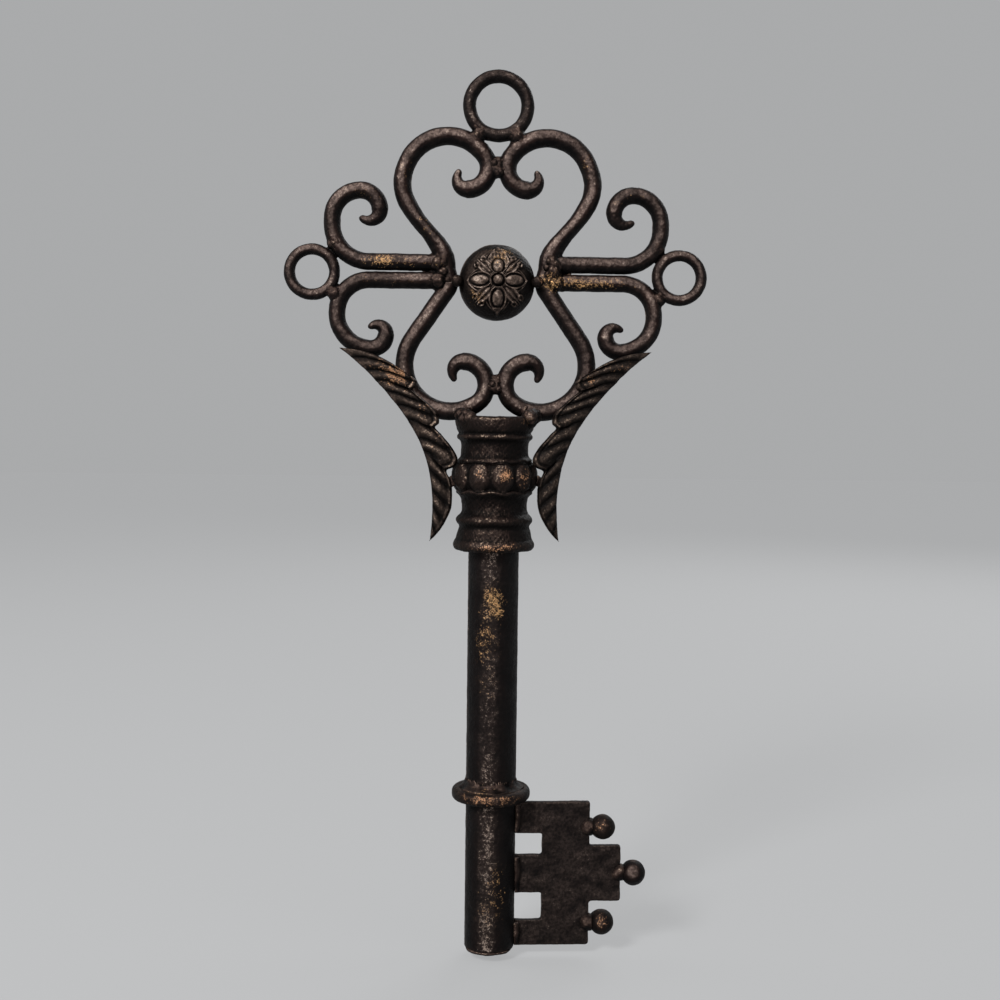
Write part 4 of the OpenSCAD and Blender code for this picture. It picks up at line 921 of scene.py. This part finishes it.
for side, title, seed in ((-1, "leaf_left", 321), (1, "leaf_right", 323)):
    leaf_mesh, leaf_proud, leaf_gap = leaf(side)
    thick = np.clip((LEAF_BACK_Y - 1.9 - vertex_points(leaf_mesh)[:, 1]) / 1.6, 0, 1)
    roughen(leaf_mesh, *LEAF_MARKS, seed, CAST)
    # Painted shade between the strands; the right leaf is darkened more than the left
    piece(title, leaf_mesh, leaf_copper, worn=thick * 0.1 + leaf_proud * 0.75,
          groove=np.clip(leaf_gap * 1.9 - 0.5, 0, 1), extra_darkening=0.33 + 0.17 * side, places=LEAF_RUBBED)

# Shaft, bit and small pieces: node, material, slot, voxel, smoothing, hammer marks
SOLID_SEED = 60
SOLIDS = [
    ("rosette_bead_left", cast_brown, "brown_iron", 0.3, 4, 0.05),
    ("rosette_bead_right", cast_brown, "brown_iron", 0.3, 4, 0.05),
    ("shaft_tube", shaft_black, "dark_iron", 0.6, 3, 0.04),
    ("shaft_end_cap", shaft_black, "dark_iron", 0.5, 3, 0.08),
    ("shaft_ring", cast_brown, "rubbed_copper", 0.4, 5, 0.10),
    ("bit_plate", plate_black, "dark_iron", 0.4, 4, 0.09),
    ("bit_ball_top", cast_brown, "rubbed_copper", 0.35, 4, 0.09),
    ("bit_ball_middle", bar_dark, "brown_iron", 0.35, 4, 0.09),
    ("bit_ball_bottom", cast_brown, "rubbed_copper", 0.35, 4, 0.09),
]
for count, (node, material, slot, voxel, smoothing, hammer) in enumerate(SOLIDS):
    skin, bumps = recast(node, voxel, smoothing, hammer, SOLID_SEED + 2 * count)
    piece(node, skin, material, worn=np.clip(0.1 + bumps * 1.5, 0, 0.5))

# Welds below the head, with the height of their bumps
WELD_SEED = 100
WELD_VOXEL = 0.3
WELD_SMOOTHING = 5
LOWER_WELDS = {
    "leaf_welds": 0.3, "shaft_ring_weld": 0.35, "end_cap_weld": 0.3, "bit_welds": 0.3, "ball_welds": 0.3,
}
for count, (node, bumpy) in enumerate(LOWER_WELDS.items()):
    skin, bumps = recast(node, WELD_VOXEL, WELD_SMOOTHING, bumpy, WELD_SEED + 2 * count)
    piece(node, skin, weld_brown, worn=np.clip(0.25 + bumps, 0, 0.8))

# Camera, where the photo was taken from. Its sizes are in millimetres
LENS, SENSOR = 48.6, 36
EYE = Vector((-31.05, -675.26, -155.63)) * MM
YAW, PITCH, ROLL = math.radians(2.879), math.radians(3.3), math.radians(0.690)
camera_data = bpy.data.cameras.new("camera")
camera_data.sensor_width = SENSOR
camera_data.lens = LENS
camera = bpy.data.objects.new("camera", camera_data)
bpy.context.collection.objects.link(camera)
ahead = Vector((math.sin(YAW) * math.cos(PITCH), math.cos(YAW) * math.cos(PITCH), -math.sin(PITCH)))
right = Vector((math.cos(YAW), -math.sin(YAW), 0))
above = right.cross(ahead)
tilted = right * math.cos(ROLL) + above * math.sin(ROLL)
upright = above * math.cos(ROLL) - right * math.sin(ROLL)
turn = Matrix((tilted, upright, -ahead)).transposed()
camera.matrix_world = Matrix.Translation(EYE) @ turn.to_4x4()
bpy.context.scene.camera = camera

# Floor and backdrop, plain and pale grey, in metres
FLOOR_GAP = 0.004
FLOOR_Z = float(cad_box[0][2]) - FLOOR_GAP
FLOOR_HALF = 6.0
FLOOR_PALE = (0.52, 0.525, 0.53)
FLOOR_SEEN = 0.7
ROOM_PALE = (0.40, 0.405, 0.41)
ROOM_LIGHT = (0.25, 0.255, 0.265)
floor_mesh = bpy.data.meshes.new("floor")
corners = [(x * FLOOR_HALF, y * FLOOR_HALF, FLOOR_Z) for x, y in ((-1, -1), (1, -1), (1, 1), (-1, 1))]
floor_mesh.from_pydata(corners, [], [(0, 1, 2, 3)])
floor = bpy.data.objects.new("floor", floor_mesh)
bpy.context.collection.objects.link(floor)

floor_paint = bpy.data.materials.new("floor")
floor_paint.use_nodes = True
g = Graph(floor_paint.node_tree)
ground = g.add("ShaderNodeBsdfPrincipled")
g.put(ground.inputs["Base Color"], FLOOR_PALE)
g.put(ground.inputs["Roughness"], 0.9)
g.put(ground.inputs["Specular IOR Level"], 0.0)
pale = g.add("ShaderNodeEmission")
g.put(pale.inputs["Color"], FLOOR_PALE)
g.seen_or_not(FLOOR_SEEN, pale.outputs["Emission"], ground.outputs["BSDF"], "ShaderNodeOutputMaterial")
floor_mesh.materials.append(floor_paint)

world = bpy.data.worlds.new("studio")
bpy.context.scene.world = world
world.use_nodes = True
g = Graph(world.node_tree)
room, glow = g.add("ShaderNodeBackground"), g.add("ShaderNodeBackground")
g.put(room.inputs["Color"], ROOM_PALE)
g.put(glow.inputs["Color"], ROOM_LIGHT)
g.seen_or_not(1.0, room.outputs["Background"], glow.outputs["Background"], "ShaderNodeOutputWorld")

# Lamps: name, place and width in metres, power in watts
LIT = Vector((0, 0, -0.2))
LAMPS = [
    ("key", (-0.85, -1.15, 0.75), 0.5, 26), ("fill", (1.2, -0.9, 0.0), 1.0, 3),
    ("right side", (1.7, 0.5, 0.2), 0.9, 4), ("left side", (-1.7, 0.5, 0.2), 0.9, 4),
    ("back", (0.9, 1.5, 1.0), 1.4, 16),
]
for name, place, width, power in LAMPS:
    lamp_data = bpy.data.lights.new(name, "AREA")
    lamp_data.shape = "DISK"
    lamp_data.size = width
    lamp_data.energy = power
    lamp = bpy.data.objects.new(name, lamp_data)
    bpy.context.collection.objects.link(lamp)
    lamp.location = place
    lamp.rotation_euler = (LIT - Vector(place)).to_track_quat("-Z", "Y").to_euler()

bpy.context.scene.view_settings.view_transform = "Standard"
